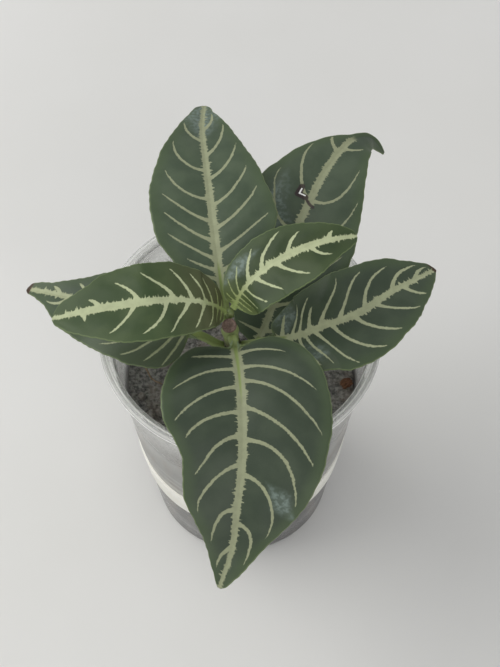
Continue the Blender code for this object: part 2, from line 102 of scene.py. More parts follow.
world = bpy.data.worlds.new("pale room")
world.use_nodes = True
world.node_tree.nodes["Background"].inputs["Color"].default_value = (0.93, 0.94, 0.96, 1.0)
world.node_tree.nodes["Background"].inputs["Strength"].default_value = 0.50
bpy.context.scene.world = world
bpy.context.scene.view_settings.view_transform = "Standard"

# %% [markdown]
# ## Shader sums that read like Python
#
# A finish is a small graph of nodes. Wiring each one by hand hides the idea, so a wrapped socket
# here knows how to add, subtract, multiply and divide: writing `1 - mask` adds the Math node for it.
# Any other node comes from one method that sets the node up and plugs its inputs.

# %% Wrapped sockets and finishes
class Value:
    """A number socket in a material; arithmetic on it adds Math nodes."""

    def __init__(self, finish, socket):
        self.finish = finish
        self.socket = socket

    def math(self, operation, *others, first=None):
        terms = (self, *others) if first is None else (first, self, *others)
        return self.finish.node("ShaderNodeMath", {"operation": operation}, dict(enumerate(terms)))

    def __add__(self, other):
        return self.math("ADD", other)

    __radd__ = __add__

    def __sub__(self, other):
        return self.math("SUBTRACT", other)

    def __rsub__(self, other):
        return self.math("SUBTRACT", first=other)

    def __mul__(self, other):
        return self.math("MULTIPLY", other)

    __rmul__ = __mul__

    def __truediv__(self, other):
        return self.math("DIVIDE", other)

    def __rtruediv__(self, other):
        return self.math("DIVIDE", first=other)

    def __pow__(self, other):
        return self.math("POWER", other)

    def size(self):
        return self.math("ABSOLUTE")

    def at_most(self, other):
        return self.math("MINIMUM", other)

    def at_least(self, other):
        return self.math("MAXIMUM", other)

    def above(self, low, high):
        """0 below low, 1 above high, and a smooth step between."""
        settings = {"interpolation_type": "SMOOTHSTEP"}
        return self.finish.node("ShaderNodeMapRange", settings, {"Value": self, "From Min": low, "From Max": high})


class Finish:
    """A material with one Principled shader, and short ways to add the nodes that feed it."""

    def __init__(self, name):
        self.material = bpy.data.materials.new(name)
        self.material.use_nodes = True
        self.tree = self.material.node_tree
        self.shader = self.tree.nodes["Principled BSDF"]

    def node(self, kind, settings=None, inputs=None, output=0):
        new = self.tree.nodes.new(kind)
        for key, value in (settings or {}).items():
            setattr(new, key, value)
        for key, value in (inputs or {}).items():
            self.plug(value, new.inputs[key])
        return Value(self, new.outputs[output])

    def plug(self, value, socket):
        if isinstance(value, Value):
            self.tree.links.new(value.socket, socket)
        else:
            socket.default_value = value

    def place(self):
        return self.node("ShaderNodeTexCoord", output="Object")

    def attribute(self, name):
        return self.node("ShaderNodeAttribute", {"attribute_name": name}, output="Fac")

    def combine(self, x, y, z=0.0):
        return self.node("ShaderNodeCombineXYZ", inputs={"X": x, "Y": y, "Z": z})

    def noise(self, scale, detail=2.0, where=None, roughness=0.5):
        inputs = {"Vector": where or self.place(), "Scale": scale, "Detail": detail, "Roughness": roughness}
        return self.node("ShaderNodeTexNoise", inputs=inputs)

    def mix(self, share, first, second):
        """Blend two colours; each is a tuple of three numbers or a wrapped socket."""
        new = self.tree.nodes.new("ShaderNodeMix")
        new.data_type = "RGBA"
        for socket, value in zip((new.inputs[0], new.inputs[6], new.inputs[7]), (share, first, second)):
            self.plug((*value, 1.0) if isinstance(value, tuple) else value, socket)
        return Value(self, new.outputs[2])

    def bump(self, height, distance, strength=1.0):
        inputs = {"Height": height, "Distance": distance, "Strength": strength}
        return self.node("ShaderNodeBump", inputs=inputs)

    def set(self, **values):
        """Plug the shader's inputs; Base_Color stands for Base Color."""
        for key, value in values.items():
            value = (*value, 1.0) if isinstance(value, tuple) and len(value) == 3 else value
            self.plug(value, self.shader.inputs[key.replace("_", " ")])
        return self.material


# %% [markdown]
# ## The floor
#
# The plant needs something to stand on and to throw its soft shadow on. A plain pale sheet of
# matte floor does that. A very faint mottle keeps it from looking like an empty page.

# %% Floor
def pale_floor_finish():
    finish = Finish("pale floor")
    mottle = finish.noise(9.0, detail=3.0)
    colour = finish.mix(mottle.above(0.3, 0.7), (0.775, 0.770, 0.745), (0.800, 0.795, 0.775))
    return finish.set(Base_Color=colour, Roughness=0.7)


bpy.ops.object.select_all(action="DESELECT")
bpy.ops.mesh.primitive_plane_add(size=6.0, location=(0.0, 0.0, 0.0))
floor = bpy.context.object
floor.name = "floor"
floor.data.materials.append(pale_floor_finish())

# %% [markdown]
# ## Helpers for pieces
#
# Each finished piece is handed over in the same way: its place is put into its mesh, it rides on
# the one body of this plant, and the solid parts that it stands for are hidden.

# %% Handing a piece over
def hand_over(piece, slot, *nodes):
    """Leave the piece at the origin with its place in its mesh, and tie it to the solid model."""
    if bpy.context.object and bpy.context.object.mode != "OBJECT":
        bpy.ops.object.mode_set(mode="OBJECT")
    only(piece)
    bpy.ops.object.transform_apply(location=True, rotation=True, scale=True)
    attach(piece, "root")
    if nodes:
        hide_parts(*nodes)
    print(piece.name, len(piece.data.polygons), "faces")


def only(piece):
    """Select one object and nothing else."""
    bpy.ops.object.select_all(action="DESELECT")
    piece.select_set(True)
    bpy.context.view_layer.objects.active = piece


# %% [markdown]
# ## Skins rolled from a grid
#
# Stems, leaves and the potting mix are all closed skins round something long: rows of points that
# go round, stacked from one end to the other. A flat grid can be rolled into any of them. We add a
# grid, move its points to where a formula puts them, merge the two edges that meet and fill the
# two ends. No single bending tool gives a leaf its exact arch, and a formula does.

# %% Rolled grid
def rolled_skin(name, points, attributes, finish, number_cells=False):
    """points has the shape rows, columns around, 3, in millimetres; attributes are like it without the 3."""
    rows, around = points.shape[:2]
    bpy.ops.object.select_all(action="DESELECT")
    bpy.ops.mesh.primitive_grid_add(x_subdivisions=around, y_subdivisions=rows - 1, size=2.0)
    piece = bpy.context.object
    piece.name = name
    mesh = piece.data
    flat = np.empty(len(mesh.vertices) * 3)
    mesh.vertices.foreach_get("co", flat)
    flat = flat.reshape(-1, 3)
    column = np.rint((flat[:, 0] + 1.0) * 0.5 * around).astype(int) % around
    row = np.rint((flat[:, 1] + 1.0) * 0.5 * (rows - 1)).astype(int)
    mesh.vertices.foreach_set("co", (points[row, column] * MM).ravel())
    for key, values in attributes.items():
        layer = mesh.attributes.new(key, "FLOAT", "POINT")
        layer.data.foreach_set("value", values[row, column].astype(float))
    if number_cells:
        mesh.attributes.new("cell", "INT", "POINT").data.foreach_set("value", row * around + column)
    mesh.update()
    bpy.ops.object.mode_set(mode="EDIT")
    bpy.ops.mesh.select_all(action="SELECT")
    bpy.ops.mesh.remove_doubles(threshold=1e-6)
    bpy.ops.mesh.select_all(action="SELECT")
    bpy.ops.mesh.fill_holes(sides=0)
    bpy.ops.mesh.select_all(action="SELECT")
    bpy.ops.mesh.normals_make_consistent(inside=False)
    bpy.ops.object.mode_set(mode="OBJECT")
    bpy.ops.object.shade_smooth()
    mesh.materials.append(finish)
    return piece


# %% [markdown]
# ## Curves to follow
#
# A stem's axis and a leaf's midrib are given by a few points in space, from the solid model. A
# Catmull-Rom curve runs smoothly through all of them. Along it we need places, directions and an
# upright frame: which way is up from the leaf, and which way is across it.

# %% Paths and frames
PATH_SAMPLES = 240


def smooth_path(points, samples=PATH_SAMPLES):
    """Sample a Catmull-Rom curve through the points; returns places and lengths along it."""
    pts = np.asarray(points, float)
    ends = np.vstack([2.0 * pts[0] - pts[1], pts, 2.0 * pts[-1] - pts[-2]])
    spans = len(pts) - 1
    u = np.linspace(0.0, spans, samples)
    i = np.minimum(u.astype(int), spans - 1)
    t = (u - i)[:, None]
    a, b, c, d = ends[i], ends[i + 1], ends[i + 2], ends[i + 3]
    curve = 0.5 * (2.0 * b + (c - a) * t + (2.0 * a - 5.0 * b + 4.0 * c - d) * t ** 2
                   + (3.0 * b - a - 3.0 * c + d) * t ** 3)
    steps = np.linalg.norm(np.diff(curve, axis=0), axis=1)
    return curve, np.concatenate([[0.0], np.cumsum(steps)])


def place_on_path(path, station):
    """Places and unit directions at lengths along a sampled path."""
    curve, lengths = path
    tangents = np.gradient(curve, lengths, axis=0)
    place = np.stack([np.interp(station, lengths, curve[:, k]) for k in range(3)], -1)
    ahead = np.stack([np.interp(station, lengths, tangents[:, k]) for k in range(3)], -1)
    return place, ahead / np.linalg.norm(ahead, axis=-1, keepdims=True)


def upright_frame(ahead, roll):
    """Unit vectors up and to the right of a direction, rolled about it."""
    side = np.cross(ahead, np.array([0.0, 0.0, 1.0]))
    side = side / np.linalg.norm(side, axis=-1, keepdims=True)
    up = np.cross(side, ahead)
    c, s = np.cos(roll)[..., None], np.sin(roll)[..., None]
    return up * c + side * s, side * c - up * s


def smooth_step(x, low, high):
    t = np.clip((x - low) / (high - low), 0.0, 1.0)
    return t * t * (3.0 - 2.0 * t)


def monotone_curve(xs, ys, x):
    """Cubic interpolation that never overshoots its points."""
    xs, ys = np.asarray(xs, float), np.asarray(ys, float)
    h, slope = np.diff(xs), np.diff(ys) / np.diff(xs)
    tangent = np.concatenate([[slope[0]], np.zeros(len(xs) - 2), [slope[-1]]])
    same_way = slope[:-1] * slope[1:] > 0.0
    w1, w2 = 2.0 * h[1:] + h[:-1], h[1:] + 2.0 * h[:-1]
    with np.errstate(divide="ignore", invalid="ignore"):
        mean = (w1 + w2) / (w1 / slope[:-1] + w2 / slope[1:])
    tangent[1:-1] = np.where(same_way, mean, 0.0)
    i = np.clip(np.searchsorted(xs, x) - 1, 0, len(h) - 1)
    t = (x - xs[i]) / h[i]
    return (ys[i] * (1 + 2 * t) * (1 - t) ** 2 + h[i] * tangent[i] * t * (1 - t) ** 2
            + ys[i + 1] * t * t * (3 - 2 * t) + h[i] * tangent[i + 1] * t * t * (t - 1))


# %% [markdown]
# ## The leaves
#
# Seven leaves carry the plant's whole character: dark green with a ragged cream midrib and cream
# side veins that bow towards the tip. Each leaf below lists its midrib's points and how wide each
# half is at a few stations, as in the solid model but with more stations. Then comes every side
# vein: where along the midrib it starts, where along it ends, how far out it ends as a share of the
# half width, and how sharply it bows. All of them were read from the photograph one by one, and
# the ones that hide under another leaf were guessed from their neighbours.

# %% What each leaf is
EDGE_STATIONS = (0.0, 0.04, 0.08, 0.12, 0.18, 0.25, 0.32, 0.4, 0.48, 0.55, 0.62, 0.7, 0.78, 0.85, 0.9, 0.95, 0.98, 1.0)
MIDRIB_END_RADIUS = 0.5


@dataclass
class Leaf:
    """Midrib points run from the stem to the tip; half widths stand at the inner EDGE_STATIONS."""
    name: str
    midrib: tuple
    start: float                # from the first midrib point to the stalk's end face
    stalk: float                # length of the bare stalk
    stalk_radius: float
    left: tuple
    right: tuple
    fold: float                 # degrees that each half rises beside the midrib
    droop: float                # mm that the edge bends back down at the widest place
    wave: tuple                 # height of the edge's waves in mm, their number and their phase
    lobe: float                 # mm that the base reaches back beside the stalk
    left_veins: tuple           # (start, end, reach, bow) of every side vein
    right_veins: tuple
    rib: tuple                  # half width of the pale midrib in mm, from the stalk to the tip
    core: float                 # mm of the midrib whose middle stays green
    young: float                # 0 for a full-grown leaf, 1 for a young one
    shade: float = 1.0          # how light this leaf's green is beside the others
    pale: float = 1.0           # the same for its veins
    base_tint_and_light: tuple = ()       # mm of the base that are tinted, and their colour: a young leaf's own olive base, and painted light on the lower left leaf's shaded base
    painted_sheen: tuple = ()           # (along, across, half length, half width) in mm and turn of patches of painted sheen: the window's light painted on as a paler colour
    rib_end: float = 999.0      # mm along the blade where the cream midrib fades
    tear: tuple = ()            # (along, across) in mm of a torn hole's two arms, then of a crease
    brown_tip: float = 0.0      # mm of dry tip


LEAVES = (
    Leaf("front_leaf",
         ((-3.2, -15.4, 143.5), (-1.7, -22.5, 147.0), (-0.2, -33.5, 150.0), (0.9, -48.5, 150.0),
          (0.9, -62.2, 144.5), (-0.7, -74.4, 135.0), (-2.3, -83.1, 124.0), (-6.5, -90.5, 110.0)),
         4.4, 5.5, 1.5,
         (15.0, 21.5, 24.5, 26.8, 27.8, 28.1, 26.9, 25.1, 22.6, 19.6, 14.9, 9.1, 6.3, 4.7, 3.1, 2.0),
         (15.5, 20.8, 23.0, 24.5, 25.2, 24.2, 20.6, 18.4, 17.9, 16.6, 12.4, 9.6, 7.7, 5.8, 3.1, 1.7),
         10.0, 3.0, (1.0, 2.5, 0.3), 6.0,
         ((0.036, 0.080, 0.72, 3.0), (0.104, 0.230, 0.88, 2.4), (0.163, 0.380, 0.91, 1.9), (0.267, 0.465, 0.87, 1.4),
          (0.387, 0.605, 0.89, 2.2), (0.511, 0.740, 0.81, 2.0), (0.696, 0.840, 0.79, 2.0)),
         ((0.050, 0.057, 0.80, 1.9), (0.110, 0.195, 0.88, 3.0), (0.186, 0.320, 0.87, 2.0), (0.286, 0.380, 0.83, 2.1),
          (0.373, 0.530, 0.79, 2.1), (0.477, 0.670, 0.85, 1.8), (0.643, 0.800, 0.78, 2.2), (0.794, 0.910, 0.62, 1.4)),
         (1.5, 1.45, 1.2, 0.9, 0.45), 24.0, 0.0, shade=0.92,
         painted_sheen=((50.5, -13.5, 7.0, 3.6, -45.0),)),
    Leaf("back_leaf",
         ((-3.2, -15.6, 142.0), (-4.8, -8.6, 145.8), (-7.1, 5.6, 152.0), (-9.2, 21.9, 155.0),
          (-11.6, 44.6, 152.0), (-13.4, 63.6, 147.0), (-13.1, 78.4, 142.0)),
         3.7, 7.0, 1.5,
         (4.6, 8.5, 12.0, 15.3, 19.0, 20.1, 20.4, 20.0, 18.7, 16.9, 14.4, 10.8, 8.0, 5.9, 4.2, 3.0),
         (6.0, 11.2, 14.0, 16.6, 20.2, 21.6, 20.7, 18.8, 17.4, 15.3, 13.2, 11.0, 8.6, 6.2, 3.3, 2.3),
         10.0, 2.0, (0.8, 2.5, 0.6), 2.0,
         ((0.040, 0.070, 0.60, 1.5), (0.078, 0.118, 0.65, 1.5), (0.115, 0.170, 0.70, 1.5), (0.158, 0.275, 0.82, 1.5),
          (0.230, 0.360, 0.81, 1.5), (0.310, 0.450, 0.81, 1.5), (0.416, 0.585, 0.81, 2.2), (0.568, 0.740, 0.83, 2.0),
          (0.749, 0.860, 0.85, 1.5)),
         ((0.050, 0.100, 0.70, 1.5), (0.110, 0.200, 0.80, 1.5), (0.185, 0.320, 0.88, 1.5), (0.279, 0.450, 0.83, 1.5),
          (0.382, 0.565, 0.82, 1.5), (0.520, 0.700, 0.86, 1.5), (0.654, 0.850, 0.85, 1.5), (0.820, 0.930, 0.70, 1.4)),
         (1.2, 1.35, 1.1, 0.9, 0.6), 15.0, 0.1, shade=1.38,
         painted_sheen=((80.0, 0.0, 12.0, 9.0, 0.0),)),
    Leaf("back_right_leaf",
         ((-1.6, -11.3, 115.5), (1.6, -9.4, 117.6), (5.0, -6.8, 120.0), (7.6, -3.6, 122.5), (9.8, 0.9, 125.3),
          (12.2, 7.0, 128.5), (16.0, 20.2, 133.0), (20.6, 32.0, 136.5), (26.2, 44.2, 139.0), (31.4, 54.1, 140.0),
          (36.9, 62.4, 139.5), (41.4, 67.1, 138.0), (46.8, 69.4, 135.0), (52.0, 68.0, 128.0)),
         4.0, 4.5, 1.5,
         (9.0, 12.0, 14.0, 16.2, 18.0, 18.6, 19.4, 19.4, 19.5, 16.6, 12.7, 7.0, 2.0, 1.6, 1.5, 1.1),
         (8.0, 11.7, 14.5, 18.2, 21.2, 21.6, 21.7, 20.1, 18.7, 16.5, 13.8, 10.6, 8.1, 5.6, 3.0, 1.5),
         8.0, 3.0, (1.0, 2.5, 0.1), 3.0,
         ((0.049, 0.060, 0.90, 2.0), (0.137, 0.240, 0.85, 2.0), (0.220, 0.360, 0.88, 2.0), (0.310, 0.480, 0.88, 2.2),
          (0.412, 0.610, 0.84, 2.8), (0.518, 0.731, 0.90, 1.1), (0.745, 0.790, 0.95, 1.2)),
         ((0.060, 0.100, 0.80, 1.6), (0.146, 0.240, 0.85, 1.4), (0.230, 0.380, 0.88, 2.0), (0.300, 0.480, 0.88, 2.4),
          (0.379, 0.590, 0.90, 3.0), (0.531, 0.725, 0.82, 3.0), (0.771, 0.810, 0.66, 2.0)),
         (1.0, 1.2, 1.25, 1.2, 0.3), 4.0, 0.0, shade=1.25, rib_end=88.0, painted_sheen=((45.0, -12.0, 18.0, 8.0, 0.0),),
         tear=((58.4, -4.6), (55.4, -4.8), (55.2, -1.9), (53.4, 0.4), (52.6, 2.2))),
    Leaf("right_leaf",
         ((-2.4, -13.4, 130.0), (1.5, -14.8, 133.0), (6.0, -15.5, 135.5), (12.2, -15.4, 138.0),
          (19.9, -15.4, 140.5), (26.4, -13.2, 142.0), (38.2, -8.9, 143.0), (49.9, 0.1, 142.0),
          (59.0, 6.5, 140.0), (65.8, 12.3, 137.0)),
         4.0, 12.0, 1.5,
         (7.0, 11.0, 13.3, 13.8, 15.2, 16.5, 17.0, 17.0, 16.5, 15.5, 13.6, 11.1, 8.1, 6.5, 4.5, 3.2),
         (8.0, 11.3, 13.5, 15.9, 18.0, 19.2, 18.4, 17.2, 15.9, 15.1, 13.4, 10.3, 7.4, 5.0, 2.9, 1.4),
         10.0, 2.0, (0.8, 2.5, 0.4), 4.0,
         ((0.043, 0.070, 0.80, 1.5), (0.096, 0.190, 0.79, 1.5), (0.132, 0.255, 0.78, 1.5), (0.192, 0.250, 0.53, 1.5),
          (0.252, 0.475, 0.87, 1.5), (0.355, 0.630, 0.80, 1.5), (0.504, 0.745, 0.72, 1.5), (0.692, 0.905, 0.74, 1.5),
          (0.845, 0.950, 0.55, 1.5)),
         ((0.050, 0.072, 0.85, 1.5), (0.092, 0.125, 0.86, 1.5), (0.130, 0.180, 0.88, 1.5), (0.161, 0.230, 0.88, 1.5),
          (0.212, 0.360, 0.93, 1.5), (0.307, 0.465, 0.90, 1.5), (0.429, 0.565, 0.89, 1.5), (0.561, 0.745, 0.86, 1.5),
          (0.754, 0.830, 0.82, 1.5)),
         (0.9, 1.15, 1.2, 0.9, 0.5), 5.0, 0.05, shade=1.1, pale=1.3, brown_tip=1.6,
         painted_sheen=((4.5, -7.5, 5.0, 6.0, 0.0), (9.0, 9.5, 8.0, 6.0, 0.0))),
    Leaf("lower_left_leaf",
         ((-2.4, -13.4, 130.0), (-6.5, -14.6, 132.5), (-11.2, -13.0, 134.5), (-16.4, -11.6, 136.5),
          (-26.2, -8.8, 139.0), (-36.2, -5.7, 139.5), (-46.4, -1.7, 138.0), (-57.2, 1.9, 136.0),
          (-65.8, 5.4, 133.5), (-72.4, 8.1, 131.0)),
         4.0, 12.0, 1.5,
         (12.0, 16.0, 17.8, 18.8, 19.8, 19.0, 18.0, 16.8, 16.0, 14.6, 12.3, 7.8, 4.8, 3.4, 2.2, 1.6),
         (5.8, 8.0, 9.4, 10.8, 13.0, 13.9, 13.1, 12.0, 11.7, 9.8, 7.7, 5.8, 4.0, 3.5, 3.0, 2.4),
         8.0, 2.0, (0.8, 2.5, 0.8), 2.0,
         ((0.025, 0.090, 0.98, 1.6), (0.066, 0.182, 0.92, 1.6), (0.130, 0.303, 0.91, 1.9), (0.240, 0.420, 0.88, 2.6),
          (0.400, 0.580, 0.85, 2.0), (0.560, 0.720, 0.80, 2.0), (0.720, 0.830, 0.70, 1.8)),
         ((0.040, 0.090, 0.80, 1.6), (0.100, 0.180, 0.80, 1.6), (0.180, 0.280, 0.80, 1.6), (0.280, 0.400, 0.80, 1.6),
          (0.400, 0.530, 0.80, 1.6), (0.520, 0.600, 0.80, 1.6), (0.620, 0.690, 0.75, 1.6), (0.780, 0.835, 0.65, 1.6)),
         (0.9, 1.0, 1.0, 0.9, 0.7), 4.0, 0.05, shade=1.30, pale=1.3, brown_tip=2.2,
         # this base tint is painted light, lifting the base that the young left leaf shades
         base_tint_and_light=(42.0, (0.115, 0.145, 0.092))),
    Leaf("young_left_leaf",
         ((-3.1, -12.2, 149.4), (-5.4, -12.6, 151.9), (-8.4, -12.7, 155.0), (-11.2, -13.1, 157.2),
          (-14.0, -13.4, 158.5), (-21.4, -14.5, 161.0), (-29.0, -16.5, 163.0), (-37.8, -17.3, 162.0),
          (-48.8, -18.3, 160.0), (-59.0, -18.5, 156.0)),
         1.7, 1.2, 1.0,
         (5.6, 8.2, 9.8, 11.5, 13.0, 13.8, 14.2, 14.5, 14.5, 14.0, 12.2, 10.0, 7.9, 6.2, 4.0, 2.6),
         (5.2, 8.5, 11.0, 12.0, 13.0, 13.9, 13.8, 13.9, 13.8, 13.2, 12.0, 8.9, 7.0, 5.8, 4.5, 2.5),
         10.0, 1.5, (0.5, 2.0, 0.2), 1.0,
         ((0.020, 0.050, 0.90, 1.6), (0.048, 0.092, 0.92, 1.6), (0.086, 0.145, 0.94, 1.6), (0.146, 0.220, 0.90, 1.6),
          (0.236, 0.400, 0.92, 1.6), (0.361, 0.500, 0.84, 1.6), (0.532, 0.675, 0.80, 1.6), (0.808, 0.800, 0.45, 1.6)),
         ((0.020, 0.030, 0.80, 1.6), (0.046, 0.075, 0.80, 1.6), (0.087, 0.140, 0.80, 1.6), (0.134, 0.215, 0.82, 1.6),
          (0.211, 0.315, 0.80, 1.6), (0.313, 0.490, 0.78, 1.7), (0.506, 0.635, 0.64, 1.6), (0.720, 0.780, 0.43, 1.6)),
         (0.5, 0.8, 1.35, 1.35, 0.45), 2.0, 1.0, shade=1.14, base_tint_and_light=(26.0, (0.086, 0.094, 0.042))),
    Leaf("young_right_leaf",
         ((-3.1, -12.2, 149.4), (-1.7, -10.8, 151.7), (0.5, -8.2, 155.0), (3.6, -6.2, 158.9),
          (8.1, -3.7, 162.0), (11.9, -2.0, 164.0), (21.9, 1.7, 167.0), (30.4, 3.7, 168.0), (37.2, 5.5, 167.0)),
         1.7, 1.2, 1.0,
         (4.5, 6.6, 8.8, 9.8, 10.2, 10.5, 10.8, 10.8, 10.5, 9.7, 8.2, 6.8, 5.5, 4.5, 3.2, 2.2),
         (8.0, 9.7, 10.5, 11.7, 12.2, 12.8, 13.2, 13.2, 13.2, 12.8, 11.8, 9.4, 6.8, 5.2, 3.5, 2.4),
         12.0, 1.5, (0.5, 2.0, 0.7), 1.0,
         ((0.030, 0.055, 0.80, 1.6), (0.062, 0.110, 0.80, 1.6), (0.098, 0.200, 0.72, 1.6), (0.207, 0.340, 0.80, 1.6),
          (0.319, 0.535, 0.87, 1.6), (0.520, 0.650, 0.68, 1.6), (0.799, 0.840, 0.55, 1.4)),
         ((0.014, 0.018, 0.95, 1.6), (0.042, 0.047, 0.90, 1.6), (0.070, 0.080, 0.85, 1.6), (0.108, 0.155, 0.86, 1.6),
          (0.154, 0.240, 0.89, 1.6), (0.258, 0.395, 0.84, 1.6), (0.426, 0.610, 0.82, 1.6), (0.674, 0.800, 0.66, 1.6)),
         (0.35, 0.75, 1.25, 1.1, 0.45), 2.0, 1.0, shade=0.86, painted_sheen=((10.0, -6.5, 7.0, 3.0, 0.0),),
         base_tint_and_light=(9.0, (0.085, 0.115, 0.036))),
)

# %% [markdown]
# ### Where the veins run
#
# A side vein's place along the leaf rises from its start to its end as it runs outwards. For one
# column of points we know every vein's place, so we can number the leaf: 0 on the first vein, 1 on
# the second, and a share of the way between them. That number, the gap to the next vein and the
# nearest vein's own half width are all that the finish needs later to draw the veins.

# %% Vein field
VEIN_HALF = 0.56                # mm, of a side vein that has room
VEIN_SHARE_OF_GAP = 0.17        # veins that stand close are thinner
VEIN_TAPER = 0.45
FLARE_REACH, FLARE_WIDTH = 1.3, 0.75    # mm, where a side vein runs into the midrib


def half_widths(leaf, along):
    ends = (leaf.stalk_radius, MIDRIB_END_RADIUS)
    return [monotone_curve(EDGE_STATIONS, (ends[0], *side, ends[1]), along) for side in (leaf.left, leaf.right)]


def rib_half(leaf, along):
    return np.interp(along, np.linspace(0.0, 1.0, len(leaf.rib)), leaf.rib)


def vein_places(veins, out):
    """Where along the leaf each vein stands at the share out of the half width, always in order."""
    start, end, reach, bow = np.array(veins).T
    places = start + (end - start) * (out / reach) ** bow
    beyond = end + (end - start) * bow / reach * (out - reach)
    places = np.where(out > reach, beyond, places)
    return np.maximum.accumulate(places + 0.008 * np.arange(len(veins))) - 0.008 * np.arange(len(veins)), reach


def vein_field(leaf, rows, columns, length):
    """Vein number, gap in mm and nearest vein's half width for every row and column."""
    number, gap, thick = (np.zeros((len(rows), len(columns))) for _ in range(3))
    both = half_widths(leaf, rows)
    for j, across in enumerate(columns):
        veins, half = (leaf.left_veins, both[0]) if across < 0.0 else (leaf.right_veins, both[1])
        out = abs(across)
        places, reach = vein_places(veins, out)
        slope = (vein_places(veins, out + 0.01)[0] - places) / 0.01 * length
        steep = 1.0 / np.hypot(1.0, slope / np.interp(places, rows, half))
        first, last = places[1] - places[0], places[-1] - places[-2]
        ends = np.concatenate([[places[0] - 3.0 * first], places, [places[-1] + 3.0 * last]])
        numbers = np.concatenate([[-3.0], np.arange(len(veins)), [len(veins) + 2.0]])
        number[:, j] = np.interp(rows, ends, numbers)
        nearest = np.clip(np.rint(number[:, j]).astype(int), 0, len(veins) - 1)
        between = np.diff(ends) / np.diff(numbers)
        span = np.clip(np.searchsorted(ends, rows) - 1, 0, len(between) - 1)
        gap[:, j] = between[span] * length * np.interp(rows, places, steep)
        room = np.minimum(np.diff(places, prepend=places[0] - first), np.diff(places, append=places[-1] + last))
        width = np.minimum(VEIN_HALF, VEIN_SHARE_OF_GAP * (1.0 - 0.35 * leaf.young) * room * length)
        share = np.clip(out / reach, 0.0, 1.0)
        width = width * (1.0 - VEIN_TAPER * share) * np.sqrt(np.clip((1.0 - share) / 0.22, 0.0, 1.0))
        flare = np.exp(-np.maximum(out * half - rib_half(leaf, rows), 0.0) / FLARE_REACH)
        drawn = (number[:, j] > -0.5) & (number[:, j] < len(veins) - 0.5)
        thick[:, j] = np.where(drawn, width[nearest] * (1.0 + FLARE_WIDTH * flare), -1.0)
        thick[:, j] = np.where(out > reach[nearest], -1.0, thick[:, j])
    return number, gap, thick


# %% [markdown]
# ### The shape of a blade
#
# Across a leaf, each half rises from the midrib and bends back towards its edge. Between two side
# veins the blade puffs up a little, the edge waves, and the base reaches back past the stalk.

# %% Blade formulas
PUCKER = 0.40
PUCKER_GAP = 9.0                # mm between veins from which the blade puffs up fully
EDGE_NICKS = 0.16               # mm of small unevenness along the edge
LOBE_ENDS = (0.03, 0.15)


def blade_surface(leaf, path, along, across, number, gap):
    """Upper face of the blade in millimetres, with its half width at each point."""
    blade_start = leaf.start + leaf.stalk
    place, ahead = place_on_path(path, blade_start + along * (path[1][-1] - blade_start))
    up, side = upright_frame(ahead, np.zeros_like(along))
    full, end = LOBE_ENDS
    back = leaf.lobe * np.minimum(along / full, 1.0) * np.clip(1.0 - along / end, 0.0, 1.0) ** 2
    place = place - ahead * (back * np.abs(across) ** 1.5)[..., None]
    left, right = half_widths(leaf, along)
    half = np.where(across < 0.0, left, right)
    nick = np.sin(along * 61.0 + across * 2.0) + np.sin(along * 143.0 + 1.3 * across)
    half = half + EDGE_NICKS * 0.5 * nick * smooth_step(along, 0.02, 0.1) * (1.0 - smooth_step(along, 0.9, 0.99))
    widest = max(max(leaf.left), max(leaf.right))
    reach = np.abs(across) * half
    fold = math.radians(leaf.fold)
    height = reach * math.sin(fold) - leaf.droop * (reach / widest) ** 2
    amplitude, count, phase = leaf.wave
    wave = np.sin(2.0 * np.pi * (count * along + phase + 0.25 * np.sign(across)))
    height = height + amplitude * wave * across ** 2 * (half / widest)
    between = 0.5 - 0.5 * np.cos(2.0 * np.pi * number)
    room = np.clip(gap / PUCKER_GAP, 0.0, 1.0) ** 1.5
    height = height + PUCKER * room * between * np.sin(np.pi * np.abs(across)) * (half / widest)
    offset = np.sign(across) * reach * math.cos(fold)
    return place + side * offset[..., None] + up * height[..., None], half


# %% [markdown]
# ### From formula to leaf
#
# The skin goes once round the leaf: across the upper face, round the edge, back across the lower
# face with the midrib's keel, and round the other edge. Rows run from the stalk's foot to the tip.
# They stand closer where the blade opens quickly, just after the stalk.

# %% Leaf skins
BLADE_THICKNESS = 0.36
EDGE_ROUNDING = 0.12
UPPER_COLUMNS = 67
STALK_ROWS = 14
BLADE_ROWS = (18, 150, 16)      # near the stalk, along the middle and near the tip
STALK_EDGE = 0.08               # angle in radians at which the stalk's upper and lower halves meet its edge
STALK_CHANNEL = 0.3             # depth of the groove along the stalk's top, as a share of its radius


def grid_normals(grid):
    normal = np.cross(np.gradient(grid, axis=1), np.gradient(grid, axis=0))
    return normal / np.linalg.norm(normal, axis=-1, keepdims=True)


def leaf_columns():
    spread = np.linspace(-1.0, 1.0, UPPER_COLUMNS)
    return np.sign(spread) * np.abs(spread) ** 1.2


def leaf_rows():
    near, middle, far = BLADE_ROWS
    parts = (np.linspace(0.0, 0.04, near, endpoint=False), np.linspace(0.04, 0.95, middle, endpoint=False),
             np.linspace(0.95, 1.0, far))
    return np.concatenate(parts)


def line_distance(points, along_mm, across_mm):
    """Distance in the leaf's own plane to a line of (along, across) points."""
    here = np.stack([along_mm, across_mm], -1)
    nearest = np.full(along_mm.shape, np.inf)
    for a, b in zip(np.array(points)[:-1], np.array(points)[1:]):
        share = np.clip(((here - a) @ (b - a)) / ((b - a) @ (b - a)), 0.0, 1.0)
        nearest = np.minimum(nearest, np.linalg.norm(here - a - share[..., None] * (b - a), axis=-1))
    return nearest


